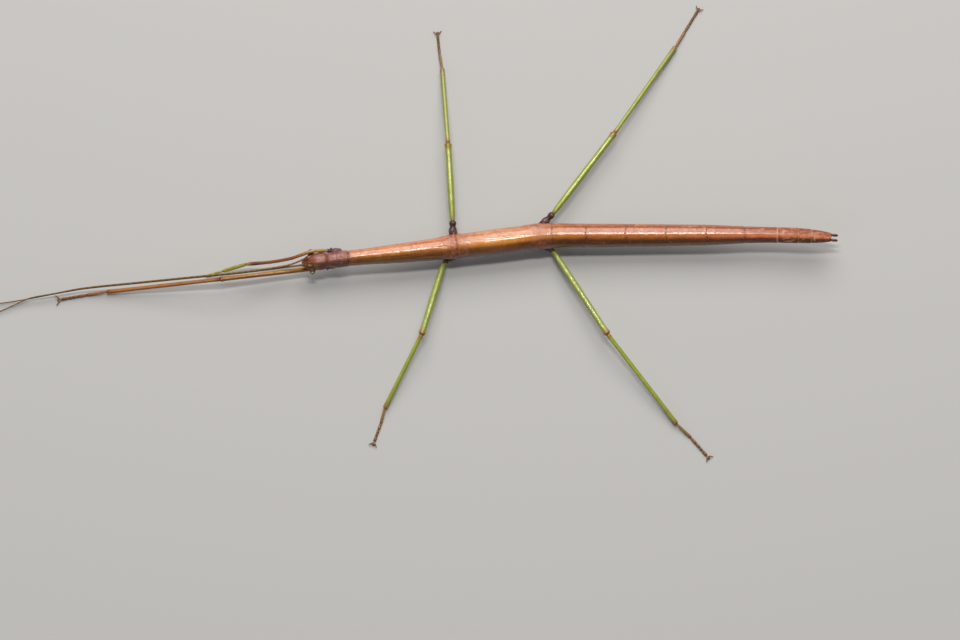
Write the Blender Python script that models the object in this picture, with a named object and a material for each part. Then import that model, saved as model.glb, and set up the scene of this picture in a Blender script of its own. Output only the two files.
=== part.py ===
"""Giant walkingstick (Megaphasma denticrus), adult female, life size.

It lies low on its feet, its body along X with the head toward -X, its right side toward +Y and its
feet on the plane z = 0. The fore legs and the feelers are stretched ahead of the head. The right
fore leg has grown back short and thin. The origin is on that plane, under the middle of the box
round the whole insect.

Sizes are in millimetres up to the last step, where every mesh is made in metres.
"""

import math

import bmesh
import bpy
from mathutils import Vector

MM = 0.001
GAP = 0.12

# ---- the body: where it starts in plan, how its spine turns and how high it runs ----
HEAD_FRONT = (-24.00, -10.12)
SPINE_TURNS = ((0, 5), (10, 5.9), (24, 5.9), (36, 7.2), (62, 7.2), (76, 0.3), (122, 0), (150, -5))
SPINE_HEIGHTS = ((0, 6.3), (14, 6.4), (44, 5.9), (62, 5.7), (95, 5.6), (122, 6.1), (149, 7.3))
SPINE_STEP = 0.5

HEAD_LENGTH = 6.95
# Share of the head's length from its front: half width, height above and depth below its axis.
HEAD_SHAPE = (
    (0.00, 0.80, 0.05, 1.00),
    (0.04, 1.20, 0.35, 1.30),
    (0.12, 1.64, 0.80, 1.55),
    (0.24, 2.02, 1.38, 1.72),
    (0.40, 2.32, 1.86, 1.90),
    (0.58, 2.52, 2.08, 2.00),
    (0.76, 2.54, 2.08, 1.98),
    (0.90, 2.36, 1.95, 1.85),
    (0.97, 2.16, 1.80, 1.70),
    (1.00, 2.02, 1.68, 1.60),
)

NECK_WIDTH = 4.20
# Name, length, width at the middle, width at the rear edge, and height as a share of the width.
SEGMENTS = (
    ("prothorax", 6.05, 4.75, 4.50, 0.96),
    ("mesothorax", 30.5, 5.60, 6.75, 0.95),
    ("metathorax", 26.85, 7.38, 7.15, 0.93),
    ("abdomen_2", 9.6, 6.95, 6.85, 0.90),
    ("abdomen_3", 11.15, 6.72, 6.62, 0.89),
    ("abdomen_4", 11.45, 6.48, 6.34, 0.88),
    ("abdomen_5", 11.45, 6.12, 5.92, 0.88),
    ("abdomen_6", 10.7, 5.46, 4.90, 0.88),
    ("abdomen_7", 9.6, 4.58, 4.42, 0.90),
    ("abdomen_8", 5.6, 4.36, 4.30, 0.92),
    ("abdomen_9", 3.7, 4.16, 3.96, 0.90),
    ("abdomen_10", 5.9, 3.42, 2.50, 0.82),
)
SEGMENT_RINGS = {"prothorax": 8, "mesothorax": 9, "metathorax": 9, "abdomen_10": 7}
ABDOMEN_RINGS = 6
JOINT_PINCH = 0.06
JOINT_REACH = 0.7
BODY_SIDES = 18
HEAD_SIDES = 20
BELLY_SHARE = 0.97
CUTTER_RINGS = 24
CUTTER_REACH = 1.0

# ---- the head's own pieces: distance behind the head's front, out from its midline, above its axis ----
EYE_AT = (2.42, 2.86, 0.15)
EYE_RADII = (0.80, 0.78, 0.76)
SCAPE_BASE = (2.30, 1.22, 1.25)
SCAPE_HALF_WIDTH = 0.54
SCAPE_HALF_HEIGHT = 0.34
# Each profile lists a share of the length with a share of the radius, or of the half width, there.
SCAPE_PROFILE = ((-0.3, 0.7), (0.2, 1.0), (0.7, 1.0), (0.92, 0.85), (1.0, 0.6))
SCAPE_SIDES = 10

MOUTH_AT = (-0.35, -1.00)
MOUTH_LENGTH = 3.4
MOUTH_HALF_WIDTH = 1.25
MOUTH_HALF_HEIGHT = 0.95
MOUTH_SLOPE = 0.35
MOUTH_PROFILE = ((0.0, 0.45), (0.12, 0.8), (0.35, 1.0), (0.7, 0.95), (1.0, 0.5))
MOUTH_SIDES = 12
PALP_RADIUS = 0.26
PALP_ROUTE = ((1.9, 0.40, -1.55), (1.2, 0.58, -1.95), (0.3, 0.58, -2.05), (-0.5, 0.48, -1.85))
PALP_RINGS = 5
PALP_SIDES = 6

# ---- the feelers: ahead of the head's front, out to the right of it in plan, height ----
FEELER_ROUTES = {
    "left": (
        (-0.15, -0.72, 7.00), (6.2, -1.50, 6.50), (20.2, -3.18, 6.00), (25.0, -3.60, 5.75),
        (46.1, -5.30, 3.50), (61.9, -6.70, 2.10), (70.9, -8.18, 1.60), (80.2, -9.88, 1.10),
        (85.8, -10.68, 0.90), (95.0, -11.68, 0.80), (103.0, -12.28, 0.75),
    ),
    "right": (
        (-0.3, 0.84, 7.10), (3.6, -0.70, 7.20), (7.6, -1.48, 7.15), (20.2, -3.08, 6.78),
        (25.0, -3.50, 6.50), (46.1, -5.20, 4.25), (61.9, -6.60, 2.85), (70.9, -8.20, 2.30),
        (77.3, -9.33, 1.75), (81.6, -11.18, 1.25), (85.8, -12.98, 0.95), (94.5, -16.28, 0.80),
        (102.0, -18.68, 0.75),
    ),
}
FEELER_BASE_RADIUS = 0.34
FEELER_TIP_RADIUS = 0.25
FEELER_TAPER = 0.7
FEELER_SIDES = 6
FEELER_RINGS = 28

# ---- the legs ----
FEMUR_LENGTH = {"front": 30.0, "middle": 22.35, "hind": 28.9}
TIBIA_LENGTH = {"front": 32.55, "middle": 23.2, "hind": 31.8}
FOOT_LENGTH = {"front": 13.1, "middle": 9.9, "hind": 12.4}
CLAW_LENGTH = {"front": 2.1, "middle": 1.7, "hind": 1.7}
FEMUR_RADIUS = {"front": 0.68, "middle": 0.93, "hind": 0.92}
TIBIA_RADIUS = {"front": 0.60, "middle": 0.66, "hind": 0.66}
COXA_RADIUS = {"front": 1.15, "middle": 1.15, "hind": 1.10}
FOOT_RADIUS = 0.42
FOOT_HEIGHT = 0.36
ANKLE_HEIGHT = 1.10
COXA_SIDES = 10
COXA_ROOT = 0.6
COXA_PROFILE = ((0.0, 1.45), (0.35, 1.15), (0.62, 0.95), (0.72, 0.80), (0.86, 0.86), (1.0, 0.72))
FEMUR_SIDES = 10
FEMUR_PROFILE = (
    (0.0, 0.78), (0.03, 0.94), (0.12, 1.0), (0.45, 1.0), (0.80, 0.93), (0.93, 0.97), (0.98, 1.05),
    (1.0, 0.85),
)
TIBIA_SIDES = 8
TIBIA_PROFILE = (
    (0.0, 0.80), (0.015, 1.0), (0.06, 0.92), (0.40, 0.96), (0.75, 0.95), (0.95, 1.05), (0.99, 1.05),
    (1.0, 0.8),
)
# Where two joints of a leg bend, each stops short by this share of the limb's radius at most.
HIP_CLEARANCE = 0.80
KNEE_CLEARANCE = 0.85
# The pointed tooth under a middle or hind thigh, near the knee.
TOOTH_PLACE = 0.90
TOOTH_DROP = 1.75
TOOTH_ROOT = 0.4
TOOTH_LEAN = 0.35
TOOTH_PROFILE = ((0.0, 0.42), (0.55, 0.36), (1.0, 0.12))
TOOTH_THIN = 0.8
TOOTH_SIDES = 6
# Shares of the foot's length that its five joints take, from the ankle outward.
FOOT_JOINTS = (0.44, 0.19, 0.12, 0.08, 0.17)
FOOT_JOINT_PROFILE = ((0.08, 0.78), (0.80, 1.06), (1.0, 0.80))
FOOT_START_SWELL = 0.95
FOOT_SIDES = 8
# The soft pad between the claws: reach ahead of the foot, radius.
PAD_PROFILE = ((0.0, 0.30), (0.35, 0.42), (0.80, 0.40), (1.05, 0.20))
PAD_SIDES = 8
# A claw's hook as shares of its length ahead and aside, with its height over the foot's axis.
HOOK_ROOT = (0.13, 0.0, 0.02)
HOOK_BEND = (0.45, 0.42, 0.22)
HOOK_TIP = (0.72, 0.68, -0.08)
HOOK_RADII = (0.26, 0.25, 0.24, 0.22, 0.18)
HOOK_SIDES = 5

# Each full leg: the socket and the hip, as distance along the spine, out from the midline and height,
# then the plan headings of the thigh, the shin, the foot's first joint and the rest of the foot, and
# the knee's height.
LEGS = {
    ("front", "left"): ((9.2, 0.45, 3.80), (6.1, 1.25, 3.20), (-172.6, -174.9, -172.6, -169.7), 5.1),
    ("middle", "left"): ((42.9, 1.70, 3.10), (39.6, 3.35, 3.00), (-106.5, -117.1, -104.3, -109.5), 5.3),
    ("middle", "right"): ((42.9, 2.10, 4.10), (43.4, 7.80, 4.75), (93.4, 94.3, 100.1, 95.7), 5.3),
    ("hind", "left"): ((67.9, 1.90, 3.10), (70.8, 3.70, 3.05), (-57.8, -52.1, -43.5, -49.3), 5.1),
    ("hind", "right"): ((66.8, 2.20, 4.20), (71.4, 6.75, 4.60), (53.0, 55.9, 59.0, 58.9), 5.1),
}

# The regrown right fore leg: its socket as above, then a route for the thigh that lies over the eye, and
# the two short joints beyond the knee, as distance behind the head's front, out to the right and height.
REGROWN_SOCKET = (10.4, 2.00, 5.30)
REGROWN_KNEE = (-16.2, 0.02, 3.90)
REGROWN_ROUTE = (
    (7.4, 3.48, 6.05), (5.6, 3.38, 7.00), (4.3, 3.24, 7.60), (2.3, 2.84, 8.12), (0.3, 2.22, 7.90),
    (-3.6, 1.10, 6.80), (-9.4, 0.40, 5.10), REGROWN_KNEE,
)
REGROWN_ANKLE = (-22.8, -1.58, 2.00)
REGROWN_TIP = (-27.4, -2.60, 0.42)
REGROWN_RADII = {"coxa": 1.12, "femur": 0.47, "tibia": 0.52, "tarsus": 0.33}
REGROWN_THIGH_SWELLS = (0.85, 0.90, 0.95, 1.0, 1.0, 1.0, 1.0, 1.0, 1.0, 1.0, 1.0, 1.15, 1.18, 0.9)
REGROWN_SHIN_PROFILE = ((0.0, 0.75), (0.06, 1.0), (0.5, 1.1), (0.9, 1.0), (1.0, 0.75))
REGROWN_FOOT_PROFILE = ((0.0, 0.8), (0.15, 1.1), (0.6, 1.0), (0.88, 1.15), (1.0, 1.1))
REGROWN_HOOK = 0.5
REGROWN_HOOK_HEIGHT = 0.28
REGROWN_HOOK_SWELL = 0.8

# ---- the tail ----
CERCUS_LENGTH = 1.8
CERCUS_RADIUS = 0.36
CERCUS_OUT = 0.72
CERCUS_DROP = 0.15
CERCUS_PROFILE = ((0.0, 0.85), (0.3, 1.0), (0.65, 0.92), (0.92, 0.75), (1.0, 0.45))
CERCUS_SIDES = 8
OPERCULUM_LENGTH = 9.5
OPERCULUM_HALF_WIDTH = 1.15
OPERCULUM_HALF_HEIGHT = 0.42
OPERCULUM_LEAD = 0.6
OPERCULUM_SINK = 0.35
OPERCULUM_PROFILE = ((0.0, 0.55), (0.15, 0.9), (0.4, 1.0), (0.7, 0.85), (0.9, 0.5), (1.0, 0.25))
OPERCULUM_SIDES = 12

# Finishes: colour, roughness.
FINISHES = {
    "copper_cuticle": ((0.42, 0.13, 0.04, 1.0), 0.32),
    "head_cuticle": ((0.25, 0.10, 0.06, 1.0), 0.40),
    "dark_cuticle": ((0.10, 0.04, 0.035, 1.0), 0.45),
    "green_leg": ((0.42, 0.45, 0.05, 1.0), 0.38),
    "amber_leg": ((0.50, 0.22, 0.04, 1.0), 0.38),
    "foot_brown": ((0.22, 0.08, 0.03, 1.0), 0.45),
    "feeler_brown": ((0.20, 0.10, 0.04, 1.0), 0.50),
    "eye": ((0.35, 0.30, 0.10, 1.0), 0.15),
    "claw": ((0.06, 0.02, 0.015, 1.0), 0.30),
}


def clear_scene():
    for obj in list(bpy.data.objects):
        bpy.data.objects.remove(obj, do_unlink=True)


def finish(name):
    """The Principled material of this name, made the first time it is asked for."""
    material = bpy.data.materials.get(name)
    if material is None:
        material = bpy.data.materials.new(name)
        material.use_nodes = True
        colour, roughness = FINISHES[name]
        shader = material.node_tree.nodes["Principled BSDF"]
        shader.inputs["Base Color"].default_value = colour
        shader.inputs["Roughness"].default_value = roughness
        shader.inputs["Metallic"].default_value = 0.0
        material.diffuse_color = colour
    return material


def mix(a, b, share):
    return a + (b - a) * share


def through(places, at):
    """The smooth curve through (place, value) pairs, read at one place. It never overshoots a value."""
    if at <= places[0][0]:
        return places[0][1]
    for i in range(len(places) - 1):
        (x0, y0), (x1, y1) = places[i], places[i + 1]
        if at <= x1:
            break
    else:
        return places[-1][1]
    slope = (y1 - y0) / (x1 - x0)

    def tangent(j):
        if j <= 0 or j >= len(places) - 1:
            return slope if j in (i, i + 1) else 0.0
        before = (places[j][1] - places[j - 1][1]) / (places[j][0] - places[j - 1][0])
        after = (places[j + 1][1] - places[j][1]) / (places[j + 1][0] - places[j][0])
        if before * after <= 0:
            return 0.0
        return 2 * before * after / (before + after)

    share = (at - x0) / (x1 - x0)
    span = x1 - x0
    rise = share * share * (3 - 2 * share)
    leave = share * (1 - share) ** 2
    arrive = share * share * (share - 1)
    return mix(y0, y1, rise) + span * (leave * tangent(i) + arrive * tangent(i + 1))


def spline(points, count):
    """Evenly parted points on the smooth curve through the given ones."""
    marks = [Vector(p) for p in points]
    run = [0.0]
    for a, b in zip(marks, marks[1:]):
        run.append(run[-1] + (b - a).length)
    axes = [[(run[i], mark[k]) for i, mark in enumerate(marks)] for k in range(3)]
    return [
        Vector([through(axis, run[-1] * i / (count - 1)) for axis in axes]) for i in range(count)
    ]


def spine_points():
    """The spine's plan route from the head's front to the abdomen's end, in even steps."""
    length = HEAD_LENGTH + sum(segment[1] for segment in SEGMENTS)
    points = [Vector((HEAD_FRONT[0], HEAD_FRONT[1]))]
    for i in range(int(length / SPINE_STEP) + 8):
        heading = math.radians(through(SPINE_TURNS, (i + 0.5) * SPINE_STEP))
        points.append(points[-1] + SPINE_STEP * Vector((math.cos(heading), math.sin(heading))))
    return points


SPINE = spine_points()


def spine_frame(along):
    """Centre, forward (toward the tail), right and up of the body at a distance along its spine."""
    place = max(0.0, min(along / SPINE_STEP, len(SPINE) - 1.001))
    i = int(place)
    step = SPINE[i + 1] - SPINE[i]
    plan = SPINE[i] + step * (along / SPINE_STEP - i)
    ahead = through(SPINE_HEIGHTS, along + SPINE_STEP / 2)
    behind = through(SPINE_HEIGHTS, along - SPINE_STEP / 2)
    centre = Vector((plan.x, plan.y, through(SPINE_HEIGHTS, along)))
    forward = Vector((step.x, step.y, ahead - behind)).normalized()
    right = Vector((-forward.y, forward.x, 0)).normalized()
    return centre, forward, right, forward.cross(right)


def beside(along, out, height, side="right"):
    """A point by its distance along the spine, out from the midline on one side, and height."""
    centre, _, right, _ = spine_frame(along)
    sign = 1 if side == "right" else -1
    point = centre + right * (sign * out)
    return Vector((point.x, point.y, height))


def at_head(back, out, above, side="right"):
    """A point by its distance behind the head's front, out from the midline, and above the head's axis."""
    centre, _, right, up = spine_frame(back)
    sign = 1 if side == "right" else -1
    return centre + right * (sign * out) + up * above


def from_head_front(back, out, height):
    """A point in plan axes, by its distance behind the head's front and out to the right of it."""
    return Vector((HEAD_FRONT[0] + back, HEAD_FRONT[1] + out, height))


def mesh_object(name, bm, material):
    """A named object of this mesh, in metres, with its faces pointing out."""
    bmesh.ops.recalc_face_normals(bm, faces=bm.faces)
    bmesh.ops.scale(bm, vec=(MM, MM, MM), verts=bm.verts)
    mesh = bpy.data.meshes.new(name)
    bm.to_mesh(mesh)
    bm.free()
    mesh.shade_smooth()
    mesh.set_sharp_from_angle(angle=math.radians(40))
    mesh.materials.append(finish(material))
    obj = bpy.data.objects.new(name, mesh)
    bpy.context.scene.collection.objects.link(obj)
    return obj


def skin_rings(bm, rings):
    """Faces between neighbouring rings of points, and a fan over each end."""
    loops = [[bm.verts.new(point) for point in ring] for ring in rings]
    for near, far in zip(loops, loops[1:]):
        for i in range(len(near)):
            j = (i + 1) % len(near)
            bm.faces.new((near[i], near[j], far[j], far[i]))
    for loop in (loops[0], loops[-1]):
        hub = bm.verts.new(sum((vert.co for vert in loop), Vector()) / len(loop))
        for i in range(len(loop)):
            bm.faces.new((loop[i], loop[(i + 1) % len(loop)], hub))


def loft(name, rings, material):
    bm = bmesh.new()
    skin_rings(bm, rings)
    return mesh_object(name, bm, material)


def ring_round(centre, right, up, half_width, above, below, sides):
    """An oval ring whose upper and lower halves may differ in height."""
    points = []
    for i in range(sides):
        angle = math.tau * (i + 0.5) / sides
        lift = math.sin(angle)
        points.append(
            centre + right * (half_width * math.cos(angle)) + up * (lift * (above if lift > 0 else below))
        )
    return points


def cross_frame(forward):
    """The level direction across a path, and the one square to both."""
    right = Vector((-forward.y, forward.x, 0)).normalized()
    return right, forward.cross(right)


def tube_rings(path, radii, sides, floor=None):
    """Rings along a path. A floor level flattens what would reach below it."""
    rings = []
    for i, centre in enumerate(path):
        forward = (path[min(i + 1, len(path) - 1)] - path[max(i - 1, 0)]).normalized()
        right, up = cross_frame(forward)
        ring = ring_round(centre, right, up, radii[i], radii[i], radii[i], sides)
        if floor is not None:
            ring = [Vector((p.x, p.y, max(p.z, floor))) for p in ring]
        rings.append(ring)
    return rings


def hide(helper):
    """A helper shapes other pieces and is not one itself."""
    helper.hide_render = True
    helper.display_type = "WIRE"


def combine(target, tool, operation):
    """A Boolean on the target by a tool that doesn't show."""
    hide(tool)
    modifier = target.modifiers.new(operation.title() + "_" + tool.name, "BOOLEAN")
    modifier.operation = operation
    modifier.solver = "EXACT"
    modifier.object = tool


# ---- body ----


def head_rings(extra=0.0, sides=HEAD_SIDES):
    """The head's rings from front to rear, drawn out by an extra thickness all round."""
    columns = [[(row[0], row[k]) for row in HEAD_SHAPE] for k in (1, 2, 3)]
    rings = []
    for share, *_ in HEAD_SHAPE:
        back = share * (HEAD_LENGTH - GAP)
        back += extra * (2 * share - 1)
        centre, _, right, up = spine_frame(back)
        wide, above, below = [through(column, share) + extra for column in columns]
        rings.append(ring_round(centre, right, up, wide, above, below, sides))
    return rings


def segment_starts():
    """Where each body segment starts along the spine."""
    starts = {}
    along = HEAD_LENGTH
    for name, length, *_ in SEGMENTS:
        starts[name] = along
        along += length
    return starts


STARTS = segment_starts()
BODY_END = HEAD_LENGTH + sum(segment[1] for segment in SEGMENTS)


def body_widths():
    """Place and width pairs down the trunk."""
    pairs = [(HEAD_LENGTH, NECK_WIDTH)]
    for name, length, middle, rear, _ in SEGMENTS:
        start = STARTS[name]
        pairs.append((start + length / 2, middle))
        pairs.append((start + length, rear))
    return pairs


WIDTHS = body_widths()


def body_ring(along, pinch, height_share, extra=0.0):
    """One ring of the trunk, round above and a little flatter below."""
    centre, _, right, up = spine_frame(along)
    half = through(WIDTHS, along) / 2 * (1 - pinch) + extra
    high = through(WIDTHS, along) / 2 * height_share * (1 - pinch) + extra
    return ring_round(centre, right, up, half, high, high * BELLY_SHARE, BODY_SIDES)


def segment(name, length, height_share):
    """A body segment, drawn in at both ends where it meets its neighbours."""
    start = STARTS[name] + GAP / 2
    end = STARTS[name] + length - GAP / 2
    count = SEGMENT_RINGS.get(name, ABDOMEN_RINGS)
    shares = [0.0, JOINT_REACH / length]
    shares += [mix(shares[1], 1 - shares[1], i / (count - 3)) for i in range(1, count - 3)]
    shares += [1 - JOINT_REACH / length, 1.0]
    rings = []
    for share in shares:
        pinch = JOINT_PINCH if share in (0.0, 1.0) else 0.0
        rings.append(body_ring(mix(start, end, share), pinch, height_share))
    return loft(name, rings, "copper_cuticle")


def trunk_cutter(name, first, last):
    """A plain copy of some segments in one, a gap wider all round, that cuts what grows from them."""
    lengths = {row[0]: row[1] for row in SEGMENTS}
    height_shares = {row[0]: row[4] for row in SEGMENTS}
    start = STARTS[first] - CUTTER_REACH
    end = STARTS[last] + lengths[last] + CUTTER_REACH
    tallest = max(height_shares[first], height_shares[last])
    rings = []
    for i in range(CUTTER_RINGS + 1):
        along = mix(start, end, i / CUTTER_RINGS)
        rings.append(body_ring(along, 0.0, tallest, GAP))
    cutter = loft(name, rings, "copper_cuticle")
    hide(cutter)
    return cutter


def head_cutter():
    """A copy of the head, a gap wider all round."""
    cutter = loft("head_cutter", head_rings(GAP), "head_cuticle")
    hide(cutter)
    return cutter


def head():
    return loft("head", head_rings(), "head_cuticle")


def eye(side, cutter):
    """A domed compound eye, cut off where it meets the head."""
    bm = bmesh.new()
    bmesh.ops.create_icosphere(bm, subdivisions=2, radius=1.0)
    bmesh.ops.scale(bm, vec=EYE_RADII, verts=bm.verts)
    bmesh.ops.translate(bm, vec=at_head(*EYE_AT, side), verts=bm.verts)
    obj = mesh_object("eye_" + side, bm, "eye")
    combine(obj, cutter, "DIFFERENCE")


def feeler_route(side):
    return [from_head_front(-ahead, out, height) for ahead, out, height in FEELER_ROUTES[side]]


def scape_path(side):
    """From the feeler's socket in the head to the first ring of its lash."""
    base = at_head(*SCAPE_BASE, side)
    return base, feeler_route(side)[0]


def feeler_base(side, cutter):
    """The flat first joint of the feeler."""
    base, tip = scape_path(side)
    forward = (tip - base).normalized()
    right, up = cross_frame(forward)
    end = tip - forward * GAP
    rings = []
    for share, swell in SCAPE_PROFILE:
        centre = base.lerp(end, share)
        half_height = SCAPE_HALF_HEIGHT * swell
        rings.append(
            ring_round(
                centre, right, up, SCAPE_HALF_WIDTH * swell, half_height, half_height, SCAPE_SIDES
            )
        )
    obj = loft("feeler_base_" + side, rings, "head_cuticle")
    combine(obj, cutter, "DIFFERENCE")


def feeler(side):
    """The long lash of the feeler, thinning toward its tip."""
    path = spline(feeler_route(side), FEELER_RINGS)
    radii = [
        mix(FEELER_BASE_RADIUS, FEELER_TIP_RADIUS, (i / (FEELER_RINGS - 1)) ** FEELER_TAPER)
        for i in range(FEELER_RINGS)
    ]
    return loft("feeler_" + side, tube_rings(path, radii, FEELER_SIDES), "feeler_brown")


def mouthparts(cutter):
    """Lip, jaws and cheeks as one bulge under the head's front, with the two feeling palps."""
    rings = []
    _, _, right, up = spine_frame(0.0)
    for share, swell in MOUTH_PROFILE:
        centre = at_head(MOUTH_AT[0] + share * MOUTH_LENGTH, 0.0, MOUTH_AT[1] - MOUTH_SLOPE * share)
        half_height = MOUTH_HALF_HEIGHT * swell
        rings.append(
            ring_round(
                centre, right, up, MOUTH_HALF_WIDTH * swell, half_height, half_height, MOUTH_SIDES
            )
        )
    obj = loft("mouthparts", rings, "head_cuticle")
    for side in ("left", "right"):
        path = spline([at_head(*point, side) for point in PALP_ROUTE], PALP_RINGS)
        rings = tube_rings(path, [PALP_RADIUS] * PALP_RINGS, PALP_SIDES)
        palp = loft("palp_" + side, rings, "head_cuticle")
        combine(obj, palp, "UNION")
    combine(obj, cutter, "DIFFERENCE")


def cercus(side):
    """A short straight tail feeler, one on each side of the abdomen's end."""
    base = at_head(BODY_END + GAP, CERCUS_OUT, -CERCUS_DROP, side)
    _, forward, _, _ = spine_frame(BODY_END)
    end = base + forward * CERCUS_LENGTH
    limb("cercus_" + side, base, end, CERCUS_PROFILE, CERCUS_RADIUS, CERCUS_SIDES, "dark_cuticle")


def operculum(cutter):
    """The keeled plate under the last segments, which covers where the eggs come out."""
    start = STARTS["abdomen_9"] - OPERCULUM_LEAD
    height_share = SEGMENTS[-2][4]
    rings = []
    for share, swell in OPERCULUM_PROFILE:
        along = start + share * OPERCULUM_LENGTH
        centre, _, right, up = spine_frame(along)
        belly = through(WIDTHS, along) / 2 * height_share
        centre = centre - up * (belly + OPERCULUM_HALF_HEIGHT * OPERCULUM_SINK)
        half_width = OPERCULUM_HALF_WIDTH * swell
        half_height = OPERCULUM_HALF_HEIGHT * mix(swell, 1.0, 0.5)
        rings.append(
            ring_round(centre, right, up, half_width, half_height, half_height, OPERCULUM_SIDES)
        )
    combine(loft("operculum", rings, "dark_cuticle"), cutter, "DIFFERENCE")


# ---- legs ----


def heading_vector(degrees, length, rise):
    """A step of a given true length in a plan heading, rising by a given height."""
    level = math.sqrt(max(length * length - rise * rise, 0.0))
    angle = math.radians(degrees)
    return Vector((level * math.cos(angle), level * math.sin(angle), rise))


def leg_joints(pair, side):
    """Socket, hip, knee, ankle, the foot's first joint, its end and the plan heading there."""
    socket, hip, headings, knee_height = LEGS[pair, side]
    points = [beside(*socket, side), beside(*hip, side)]
    rise = knee_height - points[-1].z
    points.append(points[-1] + heading_vector(headings[0], FEMUR_LENGTH[pair], rise))
    rise = ANKLE_HEIGHT - knee_height
    points.append(points[-1] + heading_vector(headings[1], TIBIA_LENGTH[pair], rise))
    first = FOOT_LENGTH[pair] * FOOT_JOINTS[0]
    points.append(points[-1] + heading_vector(headings[2], first, FOOT_HEIGHT - ANKLE_HEIGHT))
    points.append(points[-1] + heading_vector(headings[3], FOOT_LENGTH[pair] - first, 0.0))
    return points, headings[3]


def trimmed(start, end, before, after):
    """The run from start to end, shortened at either end."""
    step = (end - start).normalized()
    return start + step * before, end - step * after


def bend_gap(before, joint, after, radius):
    """How far two limbs of this radius stop short of a joint, so that they clear each other as it bends."""
    turn = (joint - before).angle(after - joint)
    return GAP / 2 + radius * math.tan(turn / 2)


def limb(name, start, end, profile, radius, sides, material):
    """A straight tapering piece, such as one joint of a leg."""
    path = [start.lerp(end, share) for share, _ in profile]
    radii = [radius * swell for _, swell in profile]
    return loft(name, tube_rings(path, radii, sides), material)


def coxa(pair, side, socket, hip, gap, radius, cutter):
    """Hip joint and the ring beyond it, cut off at the trunk's surface."""
    start, end = trimmed(socket, hip, -COXA_ROOT, gap)
    name = "coxa_%s_%s" % (pair, side)
    obj = limb(name, start, end, COXA_PROFILE, radius, COXA_SIDES, "dark_cuticle")
    combine(obj, cutter, "DIFFERENCE")


def tooth(name, start, end):
    """The pointed tooth under the thigh, just short of the knee."""
    place = start.lerp(end, TOOTH_PLACE)
    step = (end - start).normalized()
    right, _ = cross_frame(step)
    root = place - Vector((0, 0, TOOTH_ROOT))
    tip = place - Vector((0, 0, TOOTH_DROP)) + step * TOOTH_LEAN
    rings = []
    for share, radius in TOOTH_PROFILE:
        centre = root.lerp(tip, share)
        rings.append(
            ring_round(centre, right, step, radius * TOOTH_THIN, radius, radius, TOOTH_SIDES)
        )
    return loft(name, rings, "green_leg")


def femur(pair, side, hip, knee, hip_gap, knee_gap):
    start, end = trimmed(hip, knee, hip_gap, knee_gap)
    name = "femur_%s_%s" % (pair, side)
    material = "amber_leg" if pair == "front" else "green_leg"
    obj = limb(name, start, end, FEMUR_PROFILE, FEMUR_RADIUS[pair], FEMUR_SIDES, material)
    if pair != "front":
        combine(obj, tooth("tooth_%s_%s" % (pair, side), start, end), "UNION")


def tibia(pair, side, knee, ankle, knee_gap, ankle_gap):
    start, end = trimmed(knee, ankle, knee_gap, ankle_gap)
    name = "tibia_%s_%s" % (pair, side)
    material = "amber_leg" if pair == "front" else "green_leg"
    limb(name, start, end, TIBIA_PROFILE, TIBIA_RADIUS[pair], TIBIA_SIDES, material)


def foot(pair, side, ankle, bend, toe, ankle_gap):
    """The five joints of the foot in one solid, drawn in between them and flat where they touch down."""
    start, _ = trimmed(ankle, bend, ankle_gap, 0.0)
    _, end = trimmed(bend, toe, 0.0, GAP)
    path = [start]
    radii = [FOOT_RADIUS * FOOT_START_SWELL]
    rest = 1 - FOOT_JOINTS[0]
    done = 0.0
    for share in FOOT_JOINTS:
        for part, swell in FOOT_JOINT_PROFILE:
            if done == 0.0:
                path.append(start.lerp(bend, part))
            else:
                path.append(bend.lerp(end, (done + share * part - FOOT_JOINTS[0]) / rest))
            radii.append(FOOT_RADIUS * swell)
        done += share
    name = "tarsus_%s_%s" % (pair, side)
    return loft(name, tube_rings(path, radii, FOOT_SIDES, floor=0.0), "foot_brown")


def claws(pair, side, toe, heading):
    """Two curved hooks that part on either side of a soft pad."""
    angle = math.radians(heading)
    ahead = Vector((math.cos(angle), math.sin(angle), 0))
    across = Vector((-ahead.y, ahead.x, 0))
    root = toe + ahead * GAP
    pad = tube_rings(
        [root + ahead * reach for reach, _ in PAD_PROFILE],
        [radius for _, radius in PAD_PROFILE], PAD_SIDES, floor=0.0,
    )
    obj = loft("claws_%s_%s" % (pair, side), pad, "claw")
    length = CLAW_LENGTH[pair]
    for turn in (-1, 1):
        route = []
        for reach, aside, height in (HOOK_ROOT, HOOK_BEND, HOOK_TIP):
            level = ahead * (reach * length) + across * (turn * aside * length)
            route.append(root + level + Vector((0, 0, height)))
        path = spline(route, len(HOOK_RADII))
        rings = tube_rings(path, HOOK_RADII, HOOK_SIDES, floor=0.0)
        hook = loft("hook_%s_%s_%d" % (pair, side, turn), rings, "claw")
        combine(obj, hook, "UNION")


def leg(pair, side, cutter):
    points, heading = leg_joints(pair, side)
    socket, hip, knee, ankle, bend, toe = points
    hip_gap = bend_gap(socket, hip, knee, HIP_CLEARANCE * FEMUR_RADIUS[pair])
    knee_gap = bend_gap(hip, knee, ankle, KNEE_CLEARANCE * FEMUR_RADIUS[pair])
    ankle_gap = bend_gap(knee, ankle, bend, KNEE_CLEARANCE * TIBIA_RADIUS[pair])
    coxa(pair, side, socket, hip, hip_gap, COXA_RADIUS[pair], cutter)
    femur(pair, side, hip, knee, hip_gap, knee_gap)
    tibia(pair, side, knee, ankle, knee_gap, ankle_gap)
    foot(pair, side, ankle, bend, toe, ankle_gap)
    claws(pair, side, toe, heading)


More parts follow.
